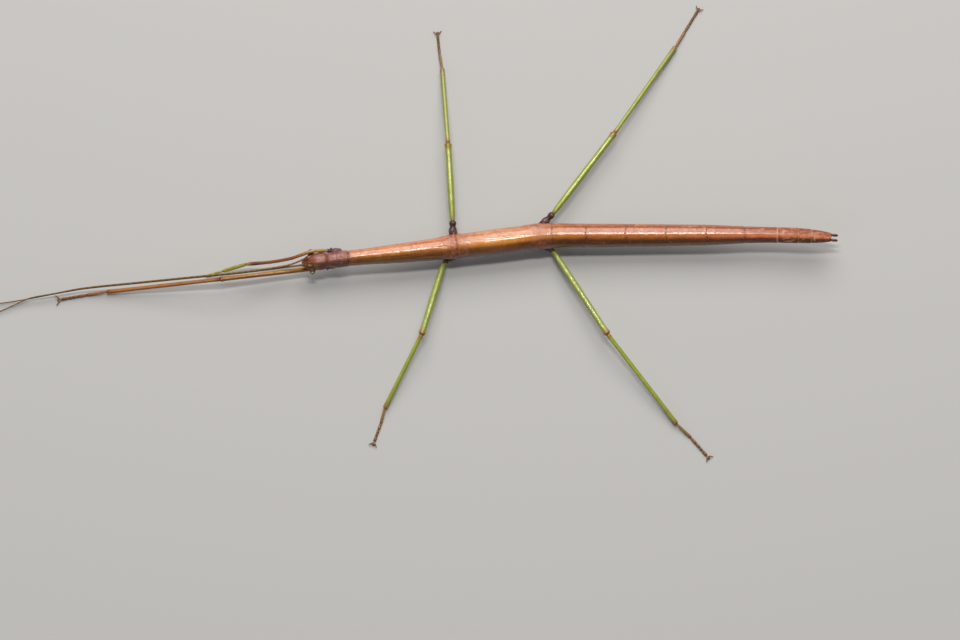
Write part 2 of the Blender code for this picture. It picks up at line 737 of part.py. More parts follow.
def regrown_leg(cutter):
    """The right fore leg, which has grown back short: a thin thigh, a stub of a shin and a hooked foot."""
    route = [from_head_front(*point) for point in REGROWN_ROUTE]
    hip = route[0]
    knee = route[-1]
    ankle = from_head_front(*REGROWN_ANKLE)
    tip = from_head_front(*REGROWN_TIP)
    socket = beside(*REGROWN_SOCKET)
    hip_gap = bend_gap(socket, hip, route[1], REGROWN_RADII["femur"])
    coxa("front", "right", socket, hip, hip_gap, REGROWN_RADII["coxa"], cutter)

    route[0], _ = trimmed(hip, route[1], hip_gap, 0.0)
    _, route[-1] = trimmed(route[-2], knee, 0.0, GAP)
    path = spline(route, len(REGROWN_THIGH_SWELLS))
    radii = [REGROWN_RADII["femur"] * swell for swell in REGROWN_THIGH_SWELLS]
    loft("femur_front_right", tube_rings(path, radii, TIBIA_SIDES), "foot_brown")

    start, end = trimmed(knee, ankle, GAP, GAP)
    radius = REGROWN_RADII["tibia"]
    limb("tibia_front_right", start, end, REGROWN_SHIN_PROFILE, radius, TIBIA_SIDES, "green_leg")

    start, _ = trimmed(ankle, tip, GAP, 0.0)
    path = [start.lerp(tip, share) for share, _ in REGROWN_FOOT_PROFILE]
    radii = [REGROWN_RADII["tarsus"] * swell for _, swell in REGROWN_FOOT_PROFILE]
    hook = tip + (tip - ankle).normalized() * REGROWN_HOOK
    path.append(Vector((hook.x, hook.y, REGROWN_HOOK_HEIGHT)))
    radii.append(REGROWN_RADII["tarsus"] * REGROWN_HOOK_SWELL)
    loft("tarsus_front_right", tube_rings(path, radii, TIBIA_SIDES, floor=0.0), "green_leg")


def build():
    clear_scene()
    head()
    skull = head_cutter()
    trunk = trunk_cutter("trunk_cutter", "prothorax", "metathorax")
    for side in ("left", "right"):
        eye(side, skull)
        feeler_base(side, skull)
        feeler(side)
        cercus(side)
    mouthparts(skull)
    for name, length, _, _, height_share in SEGMENTS:
        segment(name, length, height_share)
    operculum(trunk_cutter("tail_cutter", "abdomen_8", "abdomen_10"))
    for pair, side in LEGS:
        leg(pair, side, trunk)
    regrown_leg(trunk)


build()
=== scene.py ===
import collections
import math

import bpy
import numpy as np
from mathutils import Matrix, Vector, kdtree


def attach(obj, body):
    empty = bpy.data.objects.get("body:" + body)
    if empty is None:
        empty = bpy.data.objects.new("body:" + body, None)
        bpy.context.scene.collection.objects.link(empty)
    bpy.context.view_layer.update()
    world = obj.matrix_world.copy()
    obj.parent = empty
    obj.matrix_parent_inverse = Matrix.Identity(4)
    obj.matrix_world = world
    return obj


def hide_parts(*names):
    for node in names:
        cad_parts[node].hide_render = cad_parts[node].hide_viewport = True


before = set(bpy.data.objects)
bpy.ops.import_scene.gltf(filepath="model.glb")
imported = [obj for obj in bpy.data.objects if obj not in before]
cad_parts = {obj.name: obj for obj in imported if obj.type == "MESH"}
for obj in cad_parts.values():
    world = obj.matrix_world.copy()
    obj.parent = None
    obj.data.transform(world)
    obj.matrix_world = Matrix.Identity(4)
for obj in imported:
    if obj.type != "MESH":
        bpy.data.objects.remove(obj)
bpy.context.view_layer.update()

# Giant walkingstick, adult female. One skin stands for every fleshy node; the eyes, the claws and the plate
# under the tail are pieces of their own. Sizes are in millimetres up to the making of each mesh, and the
# driving dimensions are the same as those of the solids.

MM = 0.001
SIGN = {"left": -1, "right": 1}

# ---- body ----
HEAD_FRONT = (-24.00, -10.12)
SPINE_TURNS = ((0, 5), (10, 5.9), (24, 5.9), (36, 7.2), (62, 7.2), (76, 0.3), (122, 0), (150, -5))
SPINE_HEIGHTS = ((0, 6.3), (14, 6.4), (44, 5.9), (62, 5.7), (95, 5.6), (122, 6.1), (149, 7.3))
SPINE_STEP = 0.5
HEAD_LENGTH = 6.95
# share of the head's length, half width, height above and depth below the axis
HEAD_SHAPE = (
    (0.00, 0.80, 0.05, 1.00), (0.04, 1.20, 0.35, 1.30), (0.12, 1.64, 0.80, 1.55),
    (0.24, 2.02, 1.38, 1.72), (0.40, 2.32, 1.86, 1.90), (0.58, 2.52, 2.08, 2.00),
    (0.76, 2.54, 2.08, 1.98), (0.90, 2.36, 1.95, 1.85), (0.97, 2.16, 1.80, 1.70),
    (1.00, 2.02, 1.68, 1.60),
)
NECK_WIDTH = 4.20
# name, length, width at the middle and at the rear, and height as a share of width
SEGMENTS = (
    ("prothorax", 6.05, 4.75, 4.50, 0.96),
    ("mesothorax", 30.5, 5.60, 6.75, 0.95),
    ("metathorax", 26.85, 7.38, 7.15, 0.93),
    ("abdomen_2", 9.6, 6.95, 6.85, 0.90),
    ("abdomen_3", 11.15, 6.72, 6.62, 0.89),
    ("abdomen_4", 11.45, 6.48, 6.34, 0.88),
    ("abdomen_5", 11.45, 6.12, 5.92, 0.88),
    ("abdomen_6", 10.7, 5.46, 4.90, 0.88),
    ("abdomen_7", 9.6, 4.58, 4.42, 0.90),
    ("abdomen_8", 5.6, 4.36, 4.30, 0.92),
    ("abdomen_9", 3.7, 4.16, 3.96, 0.90),
    ("abdomen_10", 5.9, 3.42, 2.50, 0.82),
)
BELLY_SHARE = 0.97
INSIDE = 0.985
BODY_STEP = 0.15
BODY_SIDES = 144
ROUNDED_ENDS = (0.45, 0.28)
# how deep and how wide the skin dips at each segment's front
JOINT_DIPS = ((0.13, 0.16), (0.12, 0.20), (0.09, 0.15), (0.07, 0.15)) + ((0.05, 0.15),) * 8
# a long flat facet on the metathorax, wide and abrupt in front and narrowing backward
FACET_START = 51.4
FACET_END = 64
FACET_HALF = (4, 13.5)
FACET_RADIUS = 3.3

# Swellings of the skin: height, place along the body, angle round it (0 right, 90 up), length and spread.
# Hip bosses, and the folds that run forward from them.
BOSSES = (
    (0.22, 42.6, 14, 1.6, 24), (0.18, 42.6, 166, 1.6, 24), (0.26, 66.6, 20, 1.9, 24),
    (0.18, 67.0, 164, 1.7, 24), (0.16, 10.2, 24, 1.5, 24), (0.14, 9.8, 156, 1.5, 24),
    (0.16, 39.8, 12, 1.0, 14), (0.18, 44.6, 12, 0.6, 14), (0.18, 63.6, 24, 1.1, 12),
    (0.12, 65.6, 46, 0.8, 8), (0.14, 67.6, 38, 0.7, 8), (0.10, 41.4, 40, 0.7, 8),
    # the nape, and the ridge of the back, which swings to the right before the second joint
    (0.15, 6.95, 30, 0.30, 26), (-0.12, 39.6, 93, 2.6, 11), (0.06, 39.2, 66, 2.4, 10),
    (-0.05, 48.0, 96, 2.6, 9),
) + tuple(
    # blunt bumps on the front shield
    (0.075, place, aim, 0.34, 7)
    for place, aim in ((7.7, 99), (9.1, 101), (12.1, 98), (8.4, 74), (10.9, 80), (11.2, 112), (10.2, 62))
)
# crown, furrow along it, nape and throat
HEAD_MIDDLE = (
    (-0.10, 1.5, 90, 1.2, 9), (-0.09, 4.3, 90, 1.9, 22), (-0.07, 4.4, 90, 1.8, 2.2),
    (0.06, 6.1, 90, 0.40, 8), (-0.12, 4.0, 270, 2.0, 12),
)
# on either side: two lobes at the nape, brow, feeler socket and its rim, trough behind the eye, and cheek
HEAD_SIDES = (
    (0.07, 6.05, 66, 0.42, 10), (0.07, 6.05, 40, 0.42, 10), (0.09, 2.9, 36, 0.9, 9),
    (-0.10, 2.35, 53, 0.42, 13), (0.08, 2.95, 57, 0.22, 14), (-0.09, 3.9, 6, 0.40, 20),
    (0.06, 5.0, 10, 0.9, 22), (-0.05, 4.6, -24, 1.7, 3.5), (0.10, 3.9, -40, 1.7, 16),
)

EYE_AT = (2.42, 2.86, 0.15)
EYE_RADII = (0.80, 0.78, 0.76)
# the rim round the eye: how far out of the head, and radius
ORBIT_FORM = (
    (-1.15, 0.98), (-0.6, 0.92), (-0.2, 0.875), (0.0, 0.85), (0.09, 0.79), (0.05, 0.62), (-0.1, 0.4),
)
LONG_PALP = (
    (2.0, 0.42, -1.52), (1.35, 0.66, -1.92), (0.75, 0.72, -2.08), (0.10, 0.68, -2.05), (-0.46, 0.52, -1.86),
)
LONG_PALP_RADII = (0.21, 0.20, 0.185, 0.17)
SHORT_PALP = ((1.5, 0.22, -1.75), (1.0, 0.36, -2.12), (0.52, 0.36, -2.16), (0.16, 0.28, -2.04))

# ---- feelers: ahead of the head's front, out to the right, height ----
SCAPE_BASE = (2.30, 1.22, 1.25)
SCAPE_HALF_WIDTH = 0.52
SCAPE_HALF_HEIGHT = 0.33
FEELER_SIDES = 14
FEELER_SPACING = 0.11
FEELER_RINGS = 58
FEELER_BASE_RADIUS = 0.29
FEELER_TIP_RADIUS = 0.17
FEELER_ROUTES = {
    "left": (
        (-0.15, -0.72, 7.00), (6.2, -1.50, 6.50), (20.2, -3.18, 6.00), (25.0, -3.60, 5.75),
        (46.1, -5.30, 3.50), (61.9, -6.70, 2.10), (70.9, -8.18, 1.60), (80.2, -9.88, 1.10),
        (85.8, -10.68, 0.90), (95.0, -11.68, 0.80), (103.0, -12.28, 0.75),
    ),
    "right": (
        (-0.30, 0.84, 7.10), (3.6, -0.70, 7.20), (7.6, -1.48, 7.15), (20.2, -3.08, 6.78),
        (25.0, -3.50, 6.50), (46.1, -5.20, 4.25), (61.9, -6.60, 2.85), (70.9, -8.20, 2.30),
        (77.3, -9.33, 1.75), (81.6, -11.18, 1.25), (85.8, -12.98, 0.95), (94.5, -16.28, 0.80),
        (102.0, -18.68, 0.75),
    ),
}

# ---- legs ----
LEG_SPACING = 0.12
LEG_SIDES = 32
REGROWN_SIDES = 24
FEMUR_LENGTH = {"front": 30.0, "middle": 22.35, "hind": 28.9}
TIBIA_LENGTH = {"front": 32.55, "middle": 23.2, "hind": 31.8}
FOOT_LENGTH = {"front": 13.1, "middle": 9.9, "hind": 12.4}
CLAW_LENGTH = {"front": 2.1, "middle": 1.7, "hind": 1.7}
FEMUR_RADIUS = {"front": 0.68, "middle": 0.93, "hind": 0.92}
TIBIA_RADIUS = {"front": 0.60, "middle": 0.66, "hind": 0.66}
COXA_RADIUS = {"front": 1.15, "middle": 1.15, "hind": 1.10}
NOISE_SEEDS = {"front": 100, "middle": 200, "hind": 300}
LEFT_SEED_SHIFT = 7
FOOT_RADIUS = 0.42
FOOT_HEIGHT = 0.36
ANKLE_HEIGHT = 1.10
FOOT_JOINTS = (0.44, 0.19, 0.12, 0.08, 0.17)
FOOT_PAD_RADII = (0.34, 0.30, 0.155)
FOOT_PAD_HEIGHT = 0.16
# under the thigh, a big tooth at one share of the way to the knee and rows of thorns between two shares
TOOTH_SHARE = 0.90
TOOTH_RADII = (0.36, 0.30, 0.20, 0.08)
THORN_SHARES = (0.45, 0.86)
THORN_COUNT = 6
THORN_RADII = (0.12, 0.08, 0.035)
SPUR_RADII = (0.14, 0.10, 0.04)
# socket and hip (along the body, out, height), headings of thigh, shin and the two lengths of the foot, and
# the knee's height
LEGS = {
    ("front", "left"): ((9.2, 0.45, 3.80), (6.1, 1.25, 3.20), (-172.6, -174.9, -172.6, -169.7), 5.1),
    ("middle", "left"): ((42.9, 1.70, 3.10), (39.6, 3.35, 3.00), (-106.5, -117.1, -104.3, -109.5), 5.3),
    ("middle", "right"): ((42.9, 2.10, 4.10), (43.4, 7.80, 4.75), (93.4, 94.3, 100.1, 95.7), 5.3),
    ("hind", "left"): ((67.9, 1.90, 3.10), (70.8, 3.70, 3.05), (-57.8, -52.1, -43.5, -49.3), 5.1),
    ("hind", "right"): ((66.8, 2.20, 4.20), (71.4, 6.75, 4.60), (53.0, 55.9, 59.0, 58.9), 5.1),
}
# hip joint and the ring beyond it: share of the way from the socket to the hip, and swell
HIP_FORM = (
    (-0.3, 1.25), (0.0, 1.16), (0.30, 1.06), (0.52, 1.00), (0.62, 0.94), (0.69, 0.70), (0.75, 0.78),
    (0.86, 0.92), (0.94, 0.84), (0.985, 0.60),
)
# knobs on it: height, share of the way, angle round it (0 head side, 90 up), length and spread
HIP_KNOBS = (
    (0.17, 0.06, 70, 0.10, 22), (0.20, 0.20, 30, 0.09, 20), (0.22, 0.26, 112, 0.10, 22),
    (0.18, 0.10, 150, 0.12, 20), (0.20, 0.48, 66, 0.08, 20), (0.14, 0.50, 10, 0.10, 24),
    (0.18, 0.46, 140, 0.09, 22), (0.14, 0.34, 185, 0.16, 22), (0.12, 0.40, -40, 0.20, 20),
    (0.16, 0.86, 96, 0.05, 26), (0.10, 0.84, 30, 0.05, 20), (0.10, 0.84, 160, 0.05, 20),
)
# place from the start of the limb joint, or back from its end where below 0, and swell
FEMUR_FORM = (
    (0.00, 0.60), (0.35, 0.70), (0.9, 0.76), (2.6, 0.86), (5.5, 0.96), (12.0, 1.0), (-5.0, 0.91),
    (-1.9, 0.94), (-0.95, 1.04), (-0.35, 1.05), (-0.10, 0.98),
)
TIBIA_FORM = (
    (0.02, 0.80), (0.16, 0.88), (0.50, 1.03), (1.1, 0.94), (2.4, 0.90), (12.0, 0.94), (-8.0, 0.93),
    (-1.6, 1.0), (-0.40, 1.04), (-0.12, 0.90),
)
# the short right fore leg, which grew again after a loss
REGROWN_SOCKET = (10.4, 2.00, 5.30)
REGROWN_ROUTE = (
    (7.4, 3.48, 6.05), (5.6, 3.38, 7.00), (4.3, 3.24, 7.60), (2.3, 2.84, 8.12), (0.3, 2.22, 7.90),
    (-3.6, 1.10, 6.80), (-9.4, 0.40, 5.10), (-16.2, 0.02, 3.90),
)
REGROWN_ANKLE = (-22.8, -1.58, 2.00)
REGROWN_TIP = (-27.4, -2.60, 0.42)
REGROWN_RADII = {"coxa": 1.12, "femur": 0.47, "tibia": 0.52, "tarsus": 0.33}
REGROWN_FEMUR_FORM = (
    (0.2, 1.10), (0.7, 1.28), (1.1, 0.92), (3, 1), (-5.2, 1), (-3.4, 1.12), (-1.2, 1.16), (-0.12, 0.9),
)
REGROWN_TIBIA_FORM = ((0.05, 0.7), (0.5, 0.98), (-0.6, 0.98), (-0.1, 0.72))
# place past the ankle, share of the foot and swell
REGROWN_FOOT_FORM = ((0.1, 0, 0.8), (0.7, 0, 1.08), (0, 0.6, 0.98), (0, 0.88, 1.13), (0, 1, 1.05))
# each claw: share of its length ahead and aside, and height over the foot's end
HOOK_COURSE = ((0.28, 0.26, 0.22), (0.50, 0.48, 0.20), (0.72, 0.68, -0.10), (0.76, 0.70, -0.27))
HOOK_RADIUS = 0.225
CLAW_PAD_FORM = ((-0.20, 0.22), (0.0, 0.29), (0.35, 0.40), (0.80, 0.385), (0.98, 0.27), (1.04, 0.10))

# ---- tail ----
CERCUS_LENGTH = 1.88
CERCUS_RADIUS = 0.414
CERCUS_OUT = 0.72
CERCUS_DROP = 0.15
CERCUS_FORM = ((0.0, 0.90), (0.25, 1.0), (0.62, 1.0), (0.86, 0.82), (0.96, 0.5), (1.0, 0.12))
OPERCULUM_LENGTH = 9.5
OPERCULUM_HALF_WIDTH = 1.15
OPERCULUM_HALF_HEIGHT = 0.42
OPERCULUM_LEAD = 0.6
OPERCULUM_FORM = (
    (0.0, 0.50), (0.15, 0.88), (0.4, 0.98), (0.7, 0.84), (0.9, 0.5), (0.985, 0.22), (1.0, 0.05),
)

# ---- colours, linear ----
SEAM = (0.040, 0.010, 0.006)
DARK_BROWN = (0.085, 0.026, 0.010)
BELLY = (0.15, 0.055, 0.020)
# deeper painted shade, low on the left side
FLANK_DEEP_SHADE = (0.075, 0.030, 0.009)
PINK_BROWN = (0.46, 0.19, 0.13)
MAUVE = (0.44, 0.165, 0.125)
PURPLE_BROWN = (0.27, 0.072, 0.044)
COXA_PURPLE = (0.080, 0.020, 0.018)
LILAC = (0.36, 0.20, 0.22)
OLIVE = (0.20, 0.15, 0.020)
YELLOW = (0.62, 0.43, 0.07)
ORANGE_BROWN = (0.34, 0.115, 0.016)
FOOT_DARK = (0.085, 0.032, 0.014)
FEELER_BROWN = (0.27, 0.15, 0.035)
FEELER_DARK = (0.16, 0.10, 0.035)
CERCUS_RED = (0.10, 0.014, 0.009)
PALE_RIM = (0.78, 0.40, 0.20)
LILAC_PALE = (0.80, 0.45, 0.38)
SPOT = (0.034, 0.006, 0.008)
# a leg's ground, its stripe (a painted highlight), its shaded side (painted shade), joints and foot, and its
# shine
AMBER_LEG = (
    (0.56, 0.24, 0.018), (0.90, 0.50, 0.02), (0.21, 0.07, 0.010), (0.26, 0.06, 0.02),
    (0.52, 0.21, 0.065), 0.46,
)
GREEN_LEG = (
    (0.36, 0.44, 0.014), (0.64, 0.70, 0.10), (0.10, 0.125, 0.008), ORANGE_BROWN,
    (0.40, 0.20, 0.045), 0.36,
)
# the first feeler joint's colour, and that of the ring at its root
SCAPE_TINTS = {
    "left": ((0.20, 0.085, 0.016), (0.50, 0.32, 0.07)), "right": ((0.36, 0.105, 0.062), (0.60, 0.42, 0.08)),
}
# distance along the body, the right shoulder's colour (painted lighter, as if lit from the right), the
# back's, and the flank's (darker, partly painted shade)
BODY_COLOURS = (
    (13.0, (0.66, 0.24, 0.115), (0.56, 0.20, 0.035), (0.19, 0.068, 0.008)),
    (22.0, (0.79, 0.275, 0.110), (0.66, 0.24, 0.014), (0.20, 0.078, 0.004)),
    (40.0, (0.75, 0.255, 0.105), (0.68, 0.24, 0.016), (0.19, 0.056, 0.004)),
    (50.0, (0.80, 0.34, 0.165), (0.86, 0.34, 0.018), (0.20, 0.064, 0.003)),
    (62.0, (0.80, 0.34, 0.160), (0.92, 0.35, 0.020), (0.17, 0.050, 0.003)),
    (74.0, (0.58, 0.170, 0.055), (0.66, 0.22, 0.026), (0.135, 0.036, 0.003)),
    (105.0, (0.51, 0.132, 0.040), (0.66, 0.21, 0.034), (0.13, 0.034, 0.004)),
    (130.0, (0.41, 0.105, 0.036), (0.76, 0.24, 0.100), (0.15, 0.038, 0.010)),
    (150.0, (0.40, 0.110, 0.042), (0.78, 0.25, 0.120), (0.17, 0.045, 0.016)),
)
# where the back's colour gives way to the flank's painted shade, in degrees round from the right side
FLANK_SHADE_EDGE = ((0, 104), (33, 106), (55, 113), (100, 113), (132, 120), (150, 122))
# the line at each segment's front, and the dots on it: angle, strength and size
JOINT_LINES = (0.85, 0.50, 0.28, 0.20) + (0.09,) * 8
JOINT_DOTS = ((67, 1.0, 0.95), (113, 0.42, 1.5), (44, 0.35, 0.8), (141, 0.30, 1.5))


# ---- curves, noise and colour ----


def curve(places, at):
    """The smooth curve through (place, value) pairs at many places. It never overshoots a value."""
    xs, ys = np.array(places, float).T
    slopes = np.diff(ys) / np.diff(xs)
    tangents = np.zeros(len(xs))
    tangents[0], tangents[-1] = slopes[0], slopes[-1]
    same = slopes[:-1] * slopes[1:] > 0
    sums = np.where(same, slopes[:-1] + slopes[1:], 1.0)
    tangents[1:-1] = np.where(same, 2 * slopes[:-1] * slopes[1:] / sums, 0.0)
    at = np.clip(np.asarray(at, float), xs[0], xs[-1])
    i = np.clip(np.searchsorted(xs, at) - 1, 0, len(xs) - 2)
    span = xs[i + 1] - xs[i]
    t = (at - xs[i]) / span
    rise = t * t * (3 - 2 * t)
    leave = t * (1 - t) ** 2
    arrive = t * t * (t - 1)
    return ys[i] + (ys[i + 1] - ys[i]) * rise + span * (leave * tangents[i] + arrive * tangents[i + 1])


def form_at(at, form):
    """Values at many places, on straight lines between (place, value) pairs."""
    return np.interp(at, *zip(*sorted(form)))


def bell(x, width):
    return np.exp(-((np.asarray(x, float) / width) ** 2))


def step(x, soft):
    """0 well below x = 0 and 1 well above it."""
    return 1 / (1 + np.exp(-np.clip(np.asarray(x, float) / soft, -40, 40)))


def over(tint, *layers):
    """A colour with each (colour, share) mixed over it in turn."""
    for colour, share in layers:
        share = np.clip(share, 0, 1)[..., None]
        tint = np.asarray(tint) * (1 - share) + np.asarray(colour) * share
    return tint


def grid(at, sides):
    """Distance along and angle round (0 right, a quarter turn up) of each point of rings at these places."""
    return np.meshgrid(at, math.tau * (np.arange(sides) + 0.5) / sides, indexing="ij")


NOISE_VALUES = 65536
NOISE_STRIDES = (1619, 31337)


def noise(d, a, cell, around, seed):
    """Smooth noise, -1 to 1, over d and a, in cells of this length and so many round."""
    table = np.random.default_rng(seed).uniform(-1, 1, NOISE_VALUES)
    u, v = d / cell, a * around / math.tau
    iu, iv = np.floor(u).astype(int), np.floor(v).astype(int)
    fu, fv = u - iu, v - iv
    fu, fv = fu * fu * (3 - 2 * fu), fv * fv * (3 - 2 * fv)

    def corner(along, turn):
        return table[(along * NOISE_STRIDES[0] + turn % around * NOISE_STRIDES[1]) % NOISE_VALUES]

    low = corner(iu, iv) * (1 - fu) + corner(iu + 1, iv) * fu
    high = corner(iu, iv + 1) * (1 - fu) + corner(iu + 1, iv + 1) * fu
    return low * (1 - fv) + high * fv


def turned(a, aim):
    """Degrees past an aim, -180 to 180."""
    return (np.degrees(a) - aim + 180) % 360 - 180


def bump(d, a, place, aim, length, spread):
    """A soft swelling, 1 high, at one place and one angle round the body."""
    return bell(d - place, length) * bell(turned(a, aim), spread)


def bumps(d, a, rows):
    return sum(size * bump(d, a, *where) for size, *where in rows)


def unit(vectors):
    return vectors / np.maximum(np.linalg.norm(vectors, axis=-1, keepdims=True), 1e-12)


def sideways(forward):
    """The level direction to the right of each forward one, and the one above both."""
    right = unit(np.stack([-forward[..., 1], forward[..., 0], 0 * forward[..., 0]], -1))
    return right, np.cross(forward, right)


# ---- the spine ----

STARTS = {}
WIDTHS = [(HEAD_LENGTH, NECK_WIDTH)]
HEIGHT_SHARES = [(HEAD_LENGTH, SEGMENTS[0][4])]
BODY_END = HEAD_LENGTH
for _name, _length, _middle, _rear, _share in SEGMENTS:
    STARTS[_name] = BODY_END
    WIDTHS += [(BODY_END + _length / 2, _middle), (BODY_END + _length, _rear)]
    HEIGHT_SHARES.append((BODY_END + _length / 2, _share))
    BODY_END += _length
# the hind edge of each plate of the abdomen overlaps the next one a little behind the joint
BOUNDARIES = [start + (0.36 if number > 2 else 0) for number, start in enumerate(STARTS.values())]
ABDOMEN = BOUNDARIES[3:]
SPINE_COUNT = int(BODY_END / SPINE_STEP) + 8
_turns = np.radians(curve(SPINE_TURNS, (np.arange(SPINE_COUNT) + 0.5) * SPINE_STEP))
SPINE_X = HEAD_FRONT[0] + SPINE_STEP * np.concatenate([[0], np.cumsum(np.cos(_turns))])
SPINE_Y = HEAD_FRONT[1] + SPINE_STEP * np.concatenate([[0], np.cumsum(np.sin(_turns))])


def spine_frame(along):
    """Centre, forward (toward the tail), right and up at distances along the spine."""
    along = np.atleast_1d(np.asarray(along, float))
    marks = np.arange(SPINE_COUNT + 1) * SPINE_STEP
    x, y = np.interp(along, marks, SPINE_X), np.interp(along, marks, SPINE_Y)
    heading = np.radians(curve(SPINE_TURNS, along))
    rise = (curve(SPINE_HEIGHTS, along + 0.25) - curve(SPINE_HEIGHTS, along - 0.25)) / 0.5
    forward = unit(np.stack([np.cos(heading), np.sin(heading), rise], 1))
    return (np.stack([x, y, curve(SPINE_HEIGHTS, along)], 1), forward) + sideways(forward)


def frame_at(along):
    return [part[0] for part in spine_frame(along)]


def beside(along, out, height, side="right"):
    """A point at a height over the floor, out to one side of the body."""
    centre, _, right, _ = frame_at(along)
    x, y, _ = centre + right * (SIGN[side] * out)
    return np.array([x, y, height])


def on_body(along, out, above, side="right"):
    """A point beside and above the body's axis, or ahead of it where along is below 0."""
    centre, _, right, up = frame_at(max(along, 0.0))
    return centre + frame_at(0.0)[1] * min(along, 0.0) + right * (SIGN[side] * out) + up * above


def from_head_front(back, out, height):
    return np.array([HEAD_FRONT[0] + back, HEAD_FRONT[1] + out, height])


# ---- meshes ----

# points with a colour, a shine (roughness) and a grain (bump strength) each, and their faces
Skin = collections.namedtuple("Skin", "points faces tint shine grain")


def loft(rings, tint, shine, grain):
    """A closed skin over rings of points, shape (rings, sides, 3), with its looks at each point."""
    count, sides, _ = rings.shape
    index = np.arange(count * sides).reshape(count, sides)
    a, b = index[:-1], index[1:]
    faces = np.stack([a, np.roll(a, -1, 1), np.roll(b, -1, 1), b], -1).reshape(-1, 4).tolist()
    first, last, hub = index[0].tolist(), index[-1].tolist(), count * sides
    faces += [(last[i], last[(i + 1) % sides], hub + 1) for i in range(sides)]
    faces += [(first[(i + 1) % sides], first[i], hub) for i in range(sides)]

    def full(values, *width):
        """One value a point, and the mean of each end ring for its hub."""
        values = np.broadcast_to(np.asarray(values, float), (count, sides) + width).reshape((-1,) + width)
        return np.concatenate([values, [values[:sides].mean(0)], [values[-sides:].mean(0)]])

    return Skin(full(rings, 3), faces, full(np.clip(tint, 0, 1), 3), full(shine), full(grain))


def joined(skins):
    faces, offset = [], 0
    for skin in skins:
        faces += [tuple(k + offset for k in face) for face in skin.faces]
        offset += len(skin.points)
    points, _, *looks = zip(*skins)
    return Skin(np.concatenate(points), faces, *[np.concatenate(look) for look in looks])


def placed(name, data):
    obj = bpy.data.objects.new(name, data)
    bpy.context.scene.collection.objects.link(obj)
    return obj


def painted(name, skin, source=0):
    """The skin as an object. Its looks go on the face corners, so a union keeps them crisp at its cut."""
    mesh = bpy.data.meshes.new(name)
    mesh.from_pydata((skin.points * MM).tolist(), [], skin.faces)
    mesh.update()
    corner = np.array([k for face in skin.faces for k in face])
    rgba = np.concatenate([skin.tint[corner], np.ones((len(corner), 1))], 1)
    for label, kind, domain, field, values in (
        ("tint", "FLOAT_COLOR", "CORNER", "color", rgba),
        ("shine", "FLOAT", "CORNER", "value", skin.shine[corner]),
        ("grain", "FLOAT", "CORNER", "value", skin.grain[corner]),
        ("source", "INT", "FACE", "value", np.full(len(mesh.polygons), source)),
    ):
        attribute = mesh.attributes.new(label, kind, domain)
        attribute.data.foreach_set(field, values.astype(np.int32 if kind == "INT" else np.float32).ravel())
    mesh.shade_smooth()
    return placed(name, mesh)


def rings_at(centre, right, up, wide, high):
    """Rings of points round centres. right and up are one direction, or one a ring."""
    centre, right, up = centre[..., None, :], right[..., None, :], up[..., None, :]
    return centre + right * wide[..., None] + up * high[..., None]


def tube(path, wide, sides, high=None):
    """Rings along a path, kept above the floor. wide and high hold one value a ring, or one a point."""
    _, a = grid(np.zeros(len(path)), sides)
    wide, high = [size.reshape(len(path), -1) for size in (wide, wide if high is None else high)]
    rings = rings_at(path, *sideways(unit(np.gradient(path, axis=0))), wide * np.cos(a), high * np.sin(a))
    rings[..., 2] = np.maximum(rings[..., 2], 0.0)
    return rings


def run_along(points):
    """Distance from the first point at each point of a broken line."""
    return np.concatenate([[0], np.cumsum(np.linalg.norm(np.diff(points, axis=0), axis=1))])


def spline(points, spacing):
    """Evenly parted points on the smooth curve through the given ones, and their distance along it."""
    points = np.asarray(points, float)
    run = run_along(points)
    at = np.linspace(0, run[-1], max(int(run[-1] / spacing), 6) + 1)
    return np.stack([curve(np.stack([run, column], 1), at) for column in points.T], 1), at


def rounded(points, spacing, reach):
    """Evenly parted points on a broken line, its corners rounded over about this reach."""
    run = run_along(points)
    at = np.linspace(0, run[-1], max(int(run[-1] / spacing), 8) + 1)
    path = np.stack([np.interp(at, run, column) for column in points.T], 1)
    size = max(int(reach / spacing), 1)
    kernel = np.hanning(2 * size + 3)[1:-1]
    padded = np.concatenate([
        path[0] - (path[1] - path[0]) * np.arange(size, 0, -1)[:, None], path,
        path[-1] + (path[-1] - path[-2]) * np.arange(1, size + 1)[:, None],
    ])
    return np.stack([np.convolve(column, kernel / kernel.sum(), "valid") for column in padded.T], 1), at, run


def ball(centre, radii, axes, sides, rings, *looks):
    """A closed egg shape with the given half sizes along three axes; its poles lie on the first."""
    p, a = grid(np.linspace(0.08, math.pi - 0.08, rings), sides)
    shares = np.cos(p), np.sin(p) * np.cos(a), np.sin(p) * np.sin(a)
    points = centre + sum((r * share)[..., None] * axis for r, share, axis in zip(radii, shares, axes))
    return loft(points[::-1], *looks)


def cone(start, middle, end, radii, sides, *looks):
    path, at = spline([start, middle, end], 0.08)
    radius = np.interp(at / at[-1], np.linspace(0, 1, len(radii)), radii)
    return loft(tube(path, radius, sides), *looks)


# ---- head and trunk ----


def body_size(along):
    """Half width, height above and depth below the axis, head and trunk in one."""
    half = curve(WIDTHS, along) / 2
    high = half * curve(HEIGHT_SHARES, along)
    in_trunk = step(along - HEAD_LENGTH, 0.05)
    places, *shapes = zip(*HEAD_SHAPE)
    return [
        curve([(HEAD_LENGTH * share, value) for share, value in zip(places, shape)], along) * (1 - in_trunk)
        + size * in_trunk for shape, size in zip(shapes, (half, high, high * BELLY_SHARE))
    ]


def joint_relief(along):
    """How the skin dips between segments and swells just ahead of each dip."""
    relief = np.zeros_like(along)
    for place, (depth, width) in zip(BOUNDARIES, JOINT_DIPS):
        relief += 0.05 * bell(along - place + 0.62, 0.36) - depth * bell(along - place, width)
        relief -= 0.04 * step(along - place, 0.05) * np.exp(-np.maximum(along - place, 0) / 0.9)
    # small folds just behind each joint of the abdomen
    for place in ABDOMEN:
        relief += 0.010 * np.sin((along - place) * 9.0) * bell(along - place - 0.8, 0.7)
    return relief


